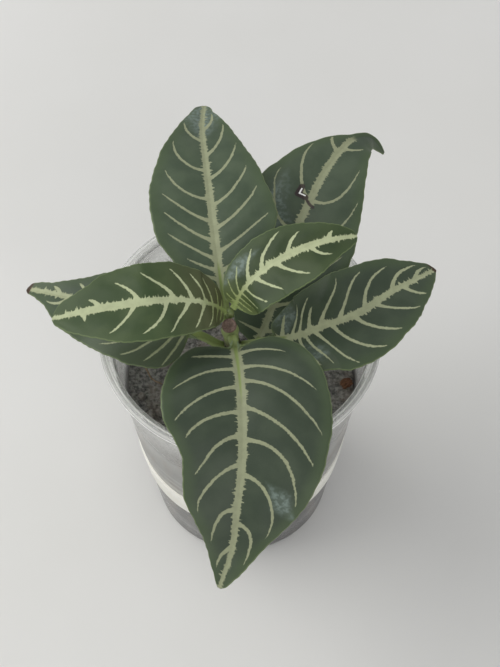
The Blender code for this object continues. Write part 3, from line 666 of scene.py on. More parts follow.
def tear_hole(piece, leaf, along_mm, across_mm):
    """Cut an L of cells out of both faces of the leaf, and wall the hole in."""
    (far, _), (corner, left), (_, right) = leaf.tear[:3]
    row = np.searchsorted(along_mm[:, 0], corner)
    arm_rows = np.searchsorted(along_mm[:, 0], far) - row
    column = np.searchsorted(across_mm[row], left)
    arm_columns = np.searchsorted(across_mm[row], right) - column
    inside = np.zeros(along_mm.shape, bool)
    inside[row:row + arm_rows, column:column + 2] = True
    inside[row:row + 2, column:column + arm_columns] = True
    none = np.zeros((STALK_ROWS, inside.shape[1]), bool)
    whole = np.concatenate([none, inside])
    chosen = go_round(whole, whole, whole[:, 0], whole[:, -1])
    only(piece)
    bpy.ops.object.mode_set(mode="EDIT")
    bpy.ops.mesh.select_mode(type="VERT")
    bpy.ops.mesh.select_all(action="DESELECT")
    bpy.ops.object.mode_set(mode="OBJECT")
    for vertex, cell in zip(piece.data.vertices, piece.data.attributes["cell"].data):
        vertex.select = cell.value >= 0 and bool(chosen.flat[cell.value])
    bpy.ops.object.mode_set(mode="EDIT")
    bpy.ops.mesh.select_mode(type="VERT")
    bpy.ops.mesh.delete(type="FACE")
    bpy.ops.mesh.select_all(action="DESELECT")
    bpy.ops.mesh.select_non_manifold()
    bpy.ops.mesh.bridge_edge_loops()
    bpy.ops.mesh.select_all(action="SELECT")
    bpy.ops.mesh.normals_make_consistent(inside=False)
    bpy.ops.object.mode_set(mode="OBJECT")
    piece.data.attributes.remove(piece.data.attributes["cell"])


def go_round(upper, lower, edge_left, edge_right):
    """Upper face left to right, right edge, lower face right to left, left edge."""
    return np.concatenate([upper, edge_right[:, None], lower[:, ::-1], edge_left[:, None]], axis=1)


def make_leaf(leaf, finish):
    path = smooth_path(leaf.midrib)
    length = path[1][-1] - leaf.start - leaf.stalk
    rows, columns = leaf_rows(), leaf_columns()
    number, gap, thick = vein_field(leaf, rows, columns, length)
    along, across = np.meshgrid(rows, columns, indexing="ij")
    upper, half = blade_surface(leaf, path, along, across, number, gap)
    normal = grid_normals(upper)
    keel = leaf.stalk_radius * (1.0 - along) + MIDRIB_END_RADIUS * along
    sideways = np.abs(across) * half
    ridge = np.sqrt(np.clip(1.0 - (sideways / (1.15 * keel)) ** 2, 0.0, 1.0))
    depth = BLADE_THICKNESS + (2.0 * keel - BLADE_THICKNESS) * ridge
    lower = upper - normal * depth[..., None]

    stations = np.linspace(leaf.start, leaf.start + leaf.stalk, STALK_ROWS, endpoint=False)
    place, ahead = place_on_path(path, stations)
    up, side = upright_frame(ahead, np.zeros(len(stations)))
    angle = np.pi * 0.5 - columns * (np.pi * 0.5 - STALK_EDGE)
    ring_side = np.cos(angle)[None, :, None] * side[:, None, :]
    dome = np.sin(angle) - STALK_CHANNEL * np.exp(-(columns / 0.35) ** 2)
    ring_top = ring_side + dome[None, :, None] * up[:, None, :]
    ring_low = ring_side - np.sin(angle)[None, :, None] * up[:, None, :]
    centre = place[:, None, :]
    stalk_upper = centre + ring_top * leaf.stalk_radius
    stalk_lower = centre + ring_low * leaf.stalk_radius
    opening = smooth_step(stations, leaf.start + leaf.stalk - 4.0, leaf.start + leaf.stalk)[:, None, None]
    first_upper, first_lower = upper[0] - upper[0].mean(0), lower[0] - upper[0].mean(0)
    stalk_upper = stalk_upper * (1.0 - opening) + (centre + first_upper) * opening
    stalk_lower = stalk_lower * (1.0 - opening) + (centre + first_lower) * opening

    top = np.concatenate([stalk_upper, upper])
    low = np.concatenate([stalk_lower, lower])
    edges = []
    for column, inner, sign in ((0, 1, -1.0), (-1, -2, 1.0)):
        outward = top[:, column] - top[:, inner]
        outward[:STALK_ROWS] = sign * side
        outward = outward / np.linalg.norm(outward, axis=1, keepdims=True)
        edges.append(0.5 * (top[:, column] + low[:, column]) + EDGE_ROUNDING * outward)
    points = go_round(top, low, edges[0], edges[1])

    def spread(values, stalk_values):
        whole = np.concatenate([np.broadcast_to(stalk_values, (STALK_ROWS, len(columns))), values])
        return go_round(whole, whole, whole[:, 0], whole[:, -1])

    across_mm = across * half
    behind = np.linspace(-leaf.stalk, 0.0, STALK_ROWS, endpoint=False)[:, None]
    lowest = np.zeros_like(top[..., 0])
    attributes = {
        "along_mm": spread(along * length, behind),
        "across_mm": spread(across_mm, columns[None, :] * leaf.stalk_radius),
        "edge_mm": spread(half - np.abs(across_mm), 3.0),
        "rib_mm": spread(rib_half(leaf, along), leaf.rib[0]),
        "vein": spread(number, -3.0),
        "vein_gap": spread(gap, 4.0),
        "vein_mm": spread(thick, -1.0),
        "under": go_round(lowest, lowest + 1.0, lowest[:, 0] + 0.5, lowest[:, 0] + 0.5),
        "tip_mm": spread((1.0 - along) * length, length),
    }
    if leaf.tear:
        tear_mm = line_distance(leaf.tear[:3], along * length, across_mm)
        crease_mm = line_distance(leaf.tear[2:], along * length, across_mm)
        attributes["tear_mm"] = spread(np.minimum(tear_mm - 0.55, crease_mm), 50.0)
    piece = rolled_skin(leaf.name + "_fine", points, attributes, finish, number_cells=bool(leaf.tear))
    if leaf.tear:
        tear_hole(piece, leaf, along * length, across_mm)
    hand_over(piece, "young_leaf" if leaf.young > 0.5 else "grown_leaf", leaf.name)
    return piece


# %% [markdown]
# ### The finish of a leaf
#
# Everything the eye reads as a zebra plant is in this finish. The distance to the nearest side vein
# is the part of the vein number after the point, times the gap between veins. Noise roughens that
# distance before it is compared with the vein's half width, which gives the torn edges. The midrib
# is drawn in the same way from the distance across the leaf, with teeth that only grow outwards.
# Upper and lower faces differ: the lower one is a pale, matte green.

# %% Leaf finish
CREAM_OLD = (0.320, 0.345, 0.210)
CREAM_YOUNG = (0.500, 0.550, 0.330)
CREAM_BASE = (0.250, 0.300, 0.110)      # yellow-green where a young leaf's midrib starts
GREEN_OLD = ((0.044, 0.064, 0.039), (0.060, 0.083, 0.051))
GREEN_YOUNG = ((0.044, 0.070, 0.029), (0.066, 0.095, 0.040))
STALK_GREEN = (0.245, 0.310, 0.105)
UNDER_GREEN = (0.190, 0.250, 0.130)
MARGIN_GREEN = (0.080, 0.120, 0.050)
MARGIN_LINE = (0.150, 0.200, 0.085)
SHEEN = (0.190, 0.245, 0.215)           # the window's light on a glossy patch
DRY_BROWN = (0.060, 0.035, 0.018)
TORN_BROWN = (0.035, 0.020, 0.022)


def blend(first, second, share):
    return tuple(a + (b - a) * share for a, b in zip(first, second))


def tinted(colour, share):
    return tuple(share * c for c in colour)


def leaf_finish(leaf):
    finish = Finish(leaf.name)
    along, across_mm = finish.attribute("along_mm"), finish.attribute("across_mm")
    sideways, edge_mm = across_mm.size(), finish.attribute("edge_mm")
    number, gap, under = finish.attribute("vein"), finish.attribute("vein_gap"), finish.attribute("under")

    ragged = finish.noise(1250.0, detail=3.0, roughness=0.65) - 0.5
    to_vein = (number - number.math("ROUND")).size() * gap
    side_vein = 1.0 - (to_vein + ragged * 0.8 - finish.attribute("vein_mm")).above(-0.10, 0.12)

    comb = finish.combine(along * 1.15, across_mm * 0.18)
    teeth = (finish.noise(1.0, detail=3.0, where=comb, roughness=0.75) - 0.47).at_least(0.0) * 5.2
    midrib = 1.0 - (sideways + ragged * 0.3 - teeth - finish.attribute("rib_mm")).above(-0.10, 0.14)
    midrib = midrib * along.above(-0.5, 0.5) * (1.0 - along.above(leaf.rib_end - 3.0, leaf.rib_end))
    cream_mask = side_vein.at_least(midrib)

    cloudy = finish.noise(110.0, detail=4.0)
    tones = [tinted(blend(a, b, leaf.young), leaf.shade) for a, b in zip(GREEN_OLD, GREEN_YOUNG)]
    green = finish.mix(cloudy.above(0.35, 0.7), *tones)
    rim_green = blend(MARGIN_GREEN, GREEN_YOUNG[1], 0.5 * leaf.young)
    green = finish.mix((1.0 - edge_mm.above(0.5, 5.5)) * 0.45, green, rim_green)
    # A young leaf's own olive base; on the lower left leaf, painted light on its shaded base
    if leaf.base_tint_and_light:
        green = finish.mix(1.0 - along.above(1.0, leaf.base_tint_and_light[0]), green, leaf.base_tint_and_light[1])
    # Painted sheen: streaky patches of paler colour where the window's light would gleam on the leaf
    sheen_streaks = finish.noise(700.0, detail=3.0).above(0.40, 0.62)
    for middle, aside, half_length, half_width, turn in leaf.painted_sheen:
        ahead, beside = math.cos(math.radians(turn)), math.sin(math.radians(turn))
        forward, sidestep = along - middle, across_mm - aside
        long_way = (forward * ahead + sidestep * beside) / half_length
        short_way = (sidestep * ahead - forward * beside) / half_width
        far = long_way.size() + short_way.size() + (cloudy - 0.5) * 1.5
        sheen_patch = (1.0 - far.above(0.3, 1.3)) * (sheen_streaks * 0.6 + 0.3)
        green = finish.mix(sheen_patch, green, SHEEN)
    line = 1.0 - (edge_mm + ragged * 0.3).above(0.12, 0.40)
    green = finish.mix(line * 0.75, green, MARGIN_LINE)

    cream = tinted(blend(CREAM_OLD, CREAM_YOUNG, leaf.young), leaf.pale)
    vein_tone = finish.noise(500.0, detail=3.0)
    cream = finish.mix(vein_tone.above(0.3, 0.75) * 0.45, cream, tinted(cream, 0.72))
    if leaf.young:
        cream = finish.mix((1.0 - along.above(1.0, 13.0)) * leaf.young, cream, CREAM_BASE)
    core = (1.0 - (sideways + along * 0.02).above(0.35, 0.95)) * (1.0 - along.above(0.6 * leaf.core, leaf.core))
    stalk = 1.0 - (along + ragged * 2.0).above(-0.5, 1.5)
    colour = finish.mix(cream_mask, green, cream)
    colour = finish.mix(core.at_least(stalk), colour, STALK_GREEN)

    if leaf.tear:
        torn = 1.0 - (finish.attribute("tear_mm") + ragged * 0.5).above(0.35, 0.75)
        colour = finish.mix(torn * 0.9, colour, TORN_BROWN)

    pale_under = finish.mix(cream_mask * 0.6, UNDER_GREEN, tinted(UNDER_GREEN, 1.2))
    colour = finish.mix(under.above(0.3, 0.7), colour, pale_under)
    if leaf.brown_tip:
        dry = 1.0 - (finish.attribute("tip_mm") + ragged * 2.0).above(0.6 * leaf.brown_tip, leaf.brown_tip)
        colour = finish.mix(dry, colour, DRY_BROWN)

    fine = finish.noise(2600.0, detail=2.0)
    height = fine * 0.25 - cream_mask * 0.45
    normal = finish.bump(height, 0.00025, 0.6)
    gloss = cloudy * 0.12 + 0.36 + cream_mask * 0.10 + under * 0.2
    return finish.set(Base_Color=colour, Roughness=gloss, Normal=normal, Specular_IOR_Level=0.36 - 0.12 * leaf.young)


# %% Make the seven leaves
for leaf in LEAVES:
    make_leaf(leaf, leaf_finish(leaf))

# %% [markdown]
# ## Stem and side shoot
#
# The stem leans forward out of the mix. It swells at each pair of leaves and ends in an old round
# cut that healed brown. Beside the cut a green side shoot carries the two young leaves. Both are
# rolled skins round an axis, with small bumps and a finish that changes with height.

# %% Stem and shoot
STEM_AXIS = ((1.0, -4.0, 62.0), (0.0, -7.0, 88.0), (-1.6, -11.2, 116.0), (-3.4, -16.0, 148.0))
STEM_RADII = (3.1, 2.4)
STEM_JOINTS = (104.0, 116.0, 130.5, 143.5)
SHOOT_AXIS = ((-3.15, -11.7, 145.0), (-3.1, -11.8, 148.0), (-3.0, -12.1, 150.4))
SHOOT_FORM = ((0.0, 1.0), (0.35, 0.95), (0.7, 1.0), (0.9, 0.8), (1.0, 0.35))
SHOOT_RADIUS = 1.3
SHOOT_START = 2.0


def round_skin(path, stations, radii, around, bumps=0.0):
    """Points of a tube with its own radius at each station."""
    place, ahead = place_on_path(path, stations)
    up, side = upright_frame(ahead, np.zeros(len(stations)))
    angle = 2.0 * np.pi * np.arange(around) / around
    ring = np.cos(angle)[None, :, None] * side[:, None, :] + np.sin(angle)[None, :, None] * up[:, None, :]
    points = place[:, None, :] + ring * radii[:, None, None]
    if bumps:
        for row in points.reshape(-1, 3):
            row += noise.noise_vector(Vector(row * 0.7)) * bumps
    return points


def stem_finish():
    finish = Finish("stem")
    height = finish.attribute("height_mm")
    streak = finish.noise(1.0, detail=4.0, where=finish.combine(height * 0.3, finish.attribute("turn") * 6.0))
    speckle = finish.noise(1500.0, detail=2.0)
    green = finish.mix(streak.above(0.35, 0.7), (0.070, 0.085, 0.030), (0.120, 0.110, 0.055))
    brown = finish.mix(speckle.above(0.4, 0.7), (0.085, 0.055, 0.035), (0.060, 0.045, 0.030))
    colour = finish.mix(height.above(100.0, 128.0), brown, green)
    colour = finish.mix(height.above(134.0, 142.0), colour, STALK_GREEN)
    scar = finish.attribute("scar")
    healed = finish.mix(speckle.above(0.35, 0.65), (0.120, 0.080, 0.058), (0.210, 0.135, 0.105))
    colour = finish.mix(scar, colour, healed)
    normal = finish.bump(streak + speckle * 0.6, 0.0004, 0.5)
    return finish.set(Base_Color=colour, Roughness=0.55, Normal=normal)


def make_stem():
    path = smooth_path(STEM_AXIS)
    total = path[1][-1]
    stations = np.concatenate([np.linspace(0.0, total, 150), np.full(5, total)])
    heights = np.interp(stations, path[1], path[0][:, 2])
    share = stations / total
    radii = STEM_RADII[0] + (STEM_RADII[1] - STEM_RADII[0]) * share
    for joint in STEM_JOINTS:
        radii = radii + 0.5 * np.exp(-((heights - joint) / 1.1) ** 2)
    radii[148:] = radii[148] * np.array([1.0, 0.93, 0.8, 0.55, 0.3, 0.12, 0.02])
    points = round_skin(path, stations, radii, 40, bumps=0.12)
    rise = np.array([0.0, 0.15, 0.25, -0.1, -0.3, -0.35, -0.35])
    points[148:, :, 2] += rise[:, None]
    scar = np.zeros(points.shape[:2])
    scar[148:] = 1.0
    turn = np.broadcast_to(np.arange(40) / 40.0, points.shape[:2])
    attributes = {"height_mm": points[..., 2], "scar": scar, "turn": np.abs(turn - 0.5)}
    piece = rolled_skin("stem_fine", points, attributes, stem_finish())
    hand_over(piece, "stem", "stem")


def shoot_finish():
    finish = Finish("young shoot")
    blotch = finish.noise(900.0, detail=3.0)
    colour = finish.mix(blotch.above(0.35, 0.7), (0.120, 0.165, 0.050), (0.180, 0.220, 0.080))
    return finish.set(Base_Color=colour, Roughness=0.42, Normal=finish.bump(blotch, 0.0002, 0.4))


def make_shoot():
    path = smooth_path(SHOOT_AXIS)
    total = path[1][-1]
    share = np.linspace(0.0, 1.0, 40)
    scale = monotone_curve([s for s, _ in SHOOT_FORM], [r for _, r in SHOOT_FORM], share)
    stations = SHOOT_START + (total - SHOOT_START) * share
    points = round_skin(path, stations, SHOOT_RADIUS * scale, 28, bumps=0.06)
    piece = rolled_skin("young_shoot_fine", points, {}, shoot_finish())
    hand_over(piece, "young_stem", "young_shoot")


make_stem()
make_shoot()

# %% [markdown]
# ## The cup
#
# The cup is thin clear plastic, formed with a rolled rim, a stacking step and a tapered wall. Its
# outline is turned by hand: a disc for the inside of the floor, whose edge is extruded ring by ring
# up the inside, over the rim and down the outside. Each extrusion is followed by a resize about the
# cup's axis.

# %% Turned shapes
def turned_rings(name, start_radius, start_height, rings, sides, closed_floor):
    """Extrude the edge of a disc or a ring through (radius, height) stations."""
    bpy.ops.object.select_all(action="DESELECT")
    bpy.ops.mesh.primitive_circle_add(vertices=sides, radius=start_radius * MM,
                                      fill_type="TRIFAN" if closed_floor else "NOTHING",
                                      location=(0.0, 0.0, start_height * MM))
    piece = bpy.context.object
    piece.name = name
    bpy.ops.object.transform_apply(location=True)
    bpy.ops.object.mode_set(mode="EDIT")
    bpy.ops.mesh.select_all(action="SELECT")
    if closed_floor:
        bpy.ops.mesh.region_to_loop()
    radius, height = start_radius, start_height
    for next_radius, next_height in rings:
        move = {"value": (0.0, 0.0, (next_height - height) * MM)}
        bpy.ops.mesh.extrude_region_move(TRANSFORM_OT_translate=move)
        grow = next_radius / radius
        bpy.ops.transform.resize(value=(grow, grow, 1.0), center_override=(0.0, 0.0, next_height * MM))
        radius, height = next_radius, next_height
    return piece


def cup_outer_radius(height):
    return CUP_FOOT_RADIUS + CUP_TAPER * height


CUP_HEIGHT = 120.0
CUP_FOOT_RADIUS = 35.0
CUP_TAPER = 0.0933
CUP_WALL = 0.8
CUP_SIDES = 160
BEAD_RADIUS = 1.9
BEAD_CENTRE_RADIUS = 47.1
STEP_HEIGHT, STEP_RISE, STEP_WIDTH = 108.0, 2.0, 1.5
FOOT_FILLET = 1.2
RIB_HEIGHTS = (56.0, 61.0, 66.0)
RIM_HIGHLIGHT_RADII = (45.4, 47.2, 48.6)          # radii where painted highlight lines run round the moulded rim


def cup_profile():
    """(radius, height) from the inside of the floor over the rim to the underside."""
    fillet, wall = FOOT_FILLET, CUP_WALL
    step_radius = cup_outer_radius(STEP_HEIGHT)
    collar = step_radius + STEP_WIDTH
    bead_height = CUP_HEIGHT - BEAD_RADIUS
    inside = [(cup_outer_radius(fillet) - wall - 0.35, wall + 0.35 * fillet),
              (cup_outer_radius(fillet) - wall, wall + fillet)]
    inside += [(cup_outer_radius(h) - wall, h) for h in (20.0, 40.0, 60.0, 80.0, 95.0, STEP_HEIGHT - 0.4)]
    inside += [(step_radius - wall + 0.15, STEP_HEIGHT), (collar - wall - 0.2, STEP_HEIGHT + STEP_RISE - 0.4),
               (collar - wall, STEP_HEIGHT + STEP_RISE + 0.2), (collar - wall, bead_height - 1.2)]
    arc = np.radians(np.linspace(200.0, -60.0, 22))
    bead = [(BEAD_CENTRE_RADIUS + BEAD_RADIUS * math.cos(a), bead_height + BEAD_RADIUS * math.sin(a)) for a in arc]
    outside = [(collar, bead_height - 1.8), (collar, STEP_HEIGHT + STEP_RISE + 0.2),
               (collar - 0.2, STEP_HEIGHT + STEP_RISE - 0.4), (step_radius + 0.15, STEP_HEIGHT),
               (step_radius, STEP_HEIGHT - 0.4), (cup_outer_radius(80.0), 80.0)]
    for rib in sorted(RIB_HEIGHTS, reverse=True):
        outside += [(cup_outer_radius(rib) + bulge, rib + rise) for bulge, rise in
                    ((0.0, 0.9), (0.14, 0.35), (0.14, -0.35), (0.0, -0.9))]
    outside += [(cup_outer_radius(h), h) for h in (40.0, 20.0, fillet)]
    outside += [(cup_outer_radius(0.0) - 0.35, 0.35), (cup_outer_radius(0.0) - fillet, 0.0),
                (30.0, 0.0), (29.0, 0.35), (26.0, 0.35), (25.0, 0.0)]
    return inside + bead + outside


def clear_plastic_finish():
    """Clear plastic over a milky layer that is dark low on the wall, grey above the band and white near the rim: two
    shaders, mixed by height.
    """
    finish = Finish("clear plastic")
    scuff = finish.noise(90.0, detail=5.0, roughness=0.65)
    height = finish.attribute("height_mm")
    smear = finish.noise(1.0, detail=4.0, where=finish.combine(finish.attribute("round_mm") * 0.12, height * 0.05))
    colour = finish.mix(scuff.above(0.35, 0.75), (0.97, 0.975, 0.965), (0.90, 0.905, 0.895))
    clear = finish.set(Base_Color=colour, Roughness=scuff * 0.1 + 0.04, Transmission_Weight=1.0, IOR=1.45)

    milk = finish.tree.nodes.new("ShaderNodeBsdfPrincipled")
    # The milky layer is darker towards the bottom and white towards the rim
    milk_colour = finish.mix(height.above(34.0, 42.0), (0.10, 0.10, 0.097), (0.44, 0.44, 0.42))
    milk_colour = finish.mix(smear.above(0.45, 0.7) * 0.5, milk_colour, (0.40, 0.35, 0.30))
    milk_colour = finish.mix(height.above(90.0, 108.0), milk_colour, (1.0, 1.0, 0.98))
    finish.plug(milk_colour, milk.inputs["Base Color"])
    finish.plug(0.4, milk.inputs["Roughness"])
    wall = height.above(30.0, 40.0) * 0.22 + 0.38
    above_mix = height.above(82.0, 90.0)
    radius = finish.attribute("radius_mm")
    lip = height.above(114.8, 115.2)
    # Painted highlights: pale milky lines round the rim, and a brighter line along the bead's outer lower edge where
    # the window's light catches it
    highlight_lines = [1.0 - (radius - line).size().above(0.12, 0.45) for line in RIM_HIGHLIGHT_RADII]
    bright_highlight = (1.0 - height.above(118.0, 118.6)) * radius.above(48.3, 48.6) * lip
    rim_highlights = (highlight_lines[0] + highlight_lines[1] + highlight_lines[2] * 0.6) * lip * 0.50 + bright_highlight * 0.85
    share = wall * (1.0 - above_mix) + above_mix * 0.22 + rim_highlights + (scuff - 0.5) * 0.25
    blend_node = finish.tree.nodes.new("ShaderNodeMixShader")
    finish.plug(share.at_least(0.0).at_most(1.0), blend_node.inputs[0])
    finish.tree.links.new(finish.shader.outputs[0], blend_node.inputs[1])
    finish.tree.links.new(milk.outputs[0], blend_node.inputs[2])
    finish.tree.links.new(blend_node.outputs[0], finish.tree.nodes["Material Output"].inputs[0])
    return clear


def make_cup():
    start = (cup_outer_radius(0.0) - FOOT_FILLET - CUP_WALL, CUP_WALL)
    piece = turned_rings("cup", *start, cup_profile(), CUP_SIDES, closed_floor=True)
    bpy.ops.mesh.edge_face_add()
    bpy.ops.mesh.poke()
    bpy.ops.mesh.select_all(action="SELECT")
    bpy.ops.mesh.normals_make_consistent(inside=False)
    bpy.ops.object.mode_set(mode="OBJECT")
    bpy.ops.object.shade_smooth_by_angle(angle=math.radians(50.0))
    mesh = piece.data
    height = mesh.attributes.new("height_mm", "FLOAT", "POINT")
    height.data.foreach_set("value", [v.co.z / MM for v in mesh.vertices])
    around = mesh.attributes.new("round_mm", "FLOAT", "POINT")
    around.data.foreach_set("value", [abs(math.atan2(v.co.x, v.co.y)) * 45.0 for v in mesh.vertices])
    radius = mesh.attributes.new("radius_mm", "FLOAT", "POINT")
    radius.data.foreach_set("value", [math.hypot(v.co.x, v.co.y) / MM for v in mesh.vertices])
    mesh.materials.append(clear_plastic_finish())
    hand_over(piece, "clear_plastic", "pot")


make_cup()

# %% [markdown]
# ## The pale band
#
# Low on the wall the photograph shows a pale band with sharp edges. It is made as a thin blank
# film: a ring extruded up the outside, over its upper edge, down the inside and closed again.

# %% Band
BAND_LOW, BAND_HIGH = 35.0, 50.0
BAND_GAP, BAND_THICKNESS = 0.03, 0.67


def band_finish():
    finish = Finish("pale film")
    mottle = finish.noise(160.0, detail=4.0)
    colour = finish.mix(mottle.above(0.3, 0.7), (0.90, 0.885, 0.80), (0.96, 0.95, 0.88))
    return finish.set(Base_Color=colour, Roughness=mottle * 0.1 + 0.4, Normal=finish.bump(mottle, 0.0002, 0.3))


def make_band():
    inner = [(cup_outer_radius(h) + BAND_GAP, h) for h in (BAND_LOW, BAND_HIGH)]
    outer = [(radius + BAND_THICKNESS, height) for radius, height in inner]
    (low_radius, low), (high_radius, high) = outer
    rings = [(high_radius, high - 0.12), (high_radius - 0.12, high), inner[1], inner[0], (low_radius - 0.12, low)]
    piece = turned_rings("band", low_radius, low + 0.12, rings, CUP_SIDES, closed_floor=False)
    bpy.ops.mesh.select_all(action="DESELECT")
    bpy.ops.mesh.select_non_manifold()
    bpy.ops.mesh.bridge_edge_loops()
    bpy.ops.mesh.select_all(action="SELECT")
    bpy.ops.mesh.normals_make_consistent(inside=False)
    bpy.ops.object.mode_set(mode="OBJECT")
    bpy.ops.object.shade_smooth_by_angle(angle=math.radians(50.0))
    piece.data.materials.append(band_finish())
    hand_over(piece, "pale_film", "label_band")


make_band()

# %% [markdown]
# ## The potting mix
#
# Peat mix is dark, crumbly and full of small bits. Its body is one rolled skin, from the foot up
# the wall and over the top to the hole that the stem stands in, roughened with layered noise. On
# the top lie a few hundred crumbs, modelled once as a lumpy pebble and scattered with a fixed seed.

# %% Soil body
SOIL_TOP, SOIL_DOME = 84.0, 1.5
SOIL_AROUND = 220
LEVEL_SPOTS = ((38.4, -3.6, 8.0), (-32.0, 0.0, 11.0))


def soil_roughness(x, y, z, size, depth):
    """Layered noise, a sum of coarse lumps and finer crumbs."""
    place = Vector((x, y, z)) / size
    return depth * (noise.noise(place) + 0.5 * noise.noise(place * 2.3) + 0.3 * noise.noise(place * 5.1))


def soil_height(x, y):
    reach = math.hypot(x, y) / cup_outer_radius(SOIL_TOP)
    level = min(max(math.hypot(x - cx, y - cy) / radius - 0.6, 0.0) / 0.4 for cx, cy, radius in LEVEL_SPOTS)
    level = min(level, 1.0)
    fine = soil_roughness(x, y, 0.0, 2.2, 0.5)
    return SOIL_TOP + SOIL_DOME * (1.0 - reach ** 2) * level + soil_roughness(x, y, 0.0, 7.0, 1.2) * level + fine


def soil_finish():
    finish = Finish("potting mix")
    grain = finish.noise(700.0, detail=5.0, roughness=0.7)
    patches = finish.noise(160.0, detail=3.0)
    dark = finish.mix(grain.above(0.35, 0.7), (0.125, 0.122, 0.121), (0.520, 0.500, 0.470))
    colour = finish.mix(patches.above(0.45, 0.7) * 0.5, dark, (0.380, 0.320, 0.270))
    specks = finish.node("ShaderNodeTexVoronoi", inputs={"Vector": finish.place(), "Scale": 420.0})
    fibre = (1.0 - specks.above(0.10, 0.16)) * patches.above(0.5, 0.6)
    colour = finish.mix(fibre, colour, (0.220, 0.170, 0.120))
    return finish.set(Base_Color=colour, Roughness=0.9, Normal=finish.bump(grain, 0.0012, 0.9))


def make_soil_body(finish):
    wall = lambda h: cup_outer_radius(h) - CUP_WALL - 0.4
    mouth = np.array([0.1, -6.7])
    rows = [(0.15, 1.1, (0.0, 0.0)), (wall(1.1) - 1.7, 1.1, (0.0, 0.0)), (wall(2.8), 2.8, (0.0, 0.0))]
    rows += [(wall(h), h, (0.0, 0.0)) for h in np.linspace(5.0, SOIL_TOP - 2.0, 62)]
    top_from, top_to = wall(SOIL_TOP - 2.0), 3.4
    share = np.linspace(1.0, 0.0, 70)[1:]
    rows += [(top_to + (top_from - top_to) * s, None, mouth * (1.0 - s)) for s in share]
    rows += [(3.3, SOIL_TOP - 3.0, mouth), (3.3, SOIL_TOP - 8.0, mouth), (0.1, SOIL_TOP - 8.5, mouth)]
    points = np.zeros((len(rows), SOIL_AROUND, 3))
    for i, (radius, height, centre) in enumerate(rows):
        for j in range(SOIL_AROUND):
            a = 2.0 * math.pi * j / SOIL_AROUND
            dx, dy = math.cos(a), math.sin(a)
            x, y = centre[0] + radius * dx, centre[1] + radius * dy
            if height is None:
                points[i, j] = x, y, soil_height(x, y)
            else:
                dent = max(soil_roughness(x, y, height, 3.0, 0.8), 0.0) if 3.0 < height < SOIL_TOP - 2.5 else 0.0
                points[i, j] = x - dx * dent, y - dy * dent, height
    return rolled_skin("soil_fine", points, {}, finish)


# %% Crumbs and bits on the mix
CRUMB_COUNT = 420
CRUMB_SEED = 7


def pebble(detail):
    """One lumpy pebble of radius 1, from a primitive sphere pushed in and out by noise."""
    bpy.ops.object.select_all(action="DESELECT")
    bpy.ops.mesh.primitive_ico_sphere_add(subdivisions=detail, radius=1.0)
    piece = bpy.context.object
    corners = np.array([v.co[:] for v in piece.data.vertices])
    for k, corner in enumerate(corners):
        corners[k] *= 1.0 + 0.45 * noise.noise(Vector(corner * 1.3))
    faces = [tuple(p.vertices) for p in piece.data.polygons]
    bpy.data.objects.remove(piece, do_unlink=True)
    return corners, faces


def scatter(name, shape, places, finish):
    """Join many turned and scaled copies of one shape into a mesh: each place is x, y, z and a size."""
    corners, faces = shape
    draw = np.random.default_rng(CRUMB_SEED)
    points, polygons = [], []
    for x, y, z, size in places:
        turn, _ = np.linalg.qr(draw.normal(size=(3, 3)))
        if np.linalg.det(turn) < 0.0:
            turn[:, 0] *= -1.0
        stretch = draw.uniform((0.7, 0.6, 0.45), (1.3, 1.0, 0.8))
        shift = len(points) * len(corners)
        points.append((corners * stretch * size) @ turn.T + (x, y, z))
        polygons += [tuple(shift + k for k in face) for face in faces]
    mesh = bpy.data.meshes.new(name)
    mesh.from_pydata((np.concatenate(points) * MM).tolist(), [], polygons)
    mesh.materials.append(finish)
    mesh.shade_smooth()
    piece = bpy.data.objects.new(name, mesh)
    bpy.context.collection.objects.link(piece)
    return piece


def scattered_places(count, smallest, largest, seed, clear=()):
    """Random places on the mix, clear of the stem, the wall and the level spots in clear."""
    draw = np.random.default_rng(seed)
    places = []
    while len(places) < count:
        size = smallest + (largest - smallest) * draw.random() ** 2.5
        angle, reach = draw.uniform(0.0, 2.0 * math.pi), math.sqrt(draw.random())
        x, y = reach * 41.0 * math.cos(angle), reach * 41.0 * math.sin(angle)
        if math.hypot(x, y) + size > 41.2 or math.hypot(x, y + 6.7) < 3.4 + size:
            continue
        if any(math.hypot(x - cx, y - cy) < radius + size for cx, cy, radius in clear):
            continue
        places.append((x, y, soil_height(x, y) + 0.25 * size, size))
    return places


def make_soil():
    finish = soil_finish()
    body = make_soil_body(finish)
    kept_clear = ((38.4, -3.6, 3.0), (-32.0, 0.0, 3.0))
    crumbs = scatter("crumbs", pebble(2), scattered_places(CRUMB_COUNT, 0.5, 2.4, CRUMB_SEED, kept_clear), finish)
    only(body)
    crumbs.select_set(True)
    bpy.ops.object.join()
    hand_over(body, "potting_mix", "soil")


make_soil()

# %% [markdown]
# ## Bark chip, rootlet and pale grains
#
# A few bits catch the eye on the dark mix: an orange-brown chip of bark at the right, a thin tan
# rootlet at the left, and some pale grains.

# %% Small bits
CHIP_CENTRE, CHIP_SIZE, CHIP_TURN = (38.4, -3.6), (3.8, 3.3, 1.8), 35.0
ROOTLET_POINTS = ((-36.2, 6.0), (-34.4, 1.8), (-32.2, -2.0), (-28.4, -4.0))
GRAIN_COUNT = 16


def bark_finish():
    finish = Finish("bark")
    fibre = finish.noise(1.0, detail=4.0, where=finish.combine(*(finish.attribute("length_mm") * 0.5,
                                                               finish.attribute("width_mm") * 3.0)))
    colour = finish.mix(fibre.above(0.3, 0.7), (0.115, 0.050, 0.025), (0.330, 0.160, 0.085))
    return finish.set(Base_Color=colour, Roughness=0.85, Normal=finish.bump(fibre, 0.0006, 0.9))


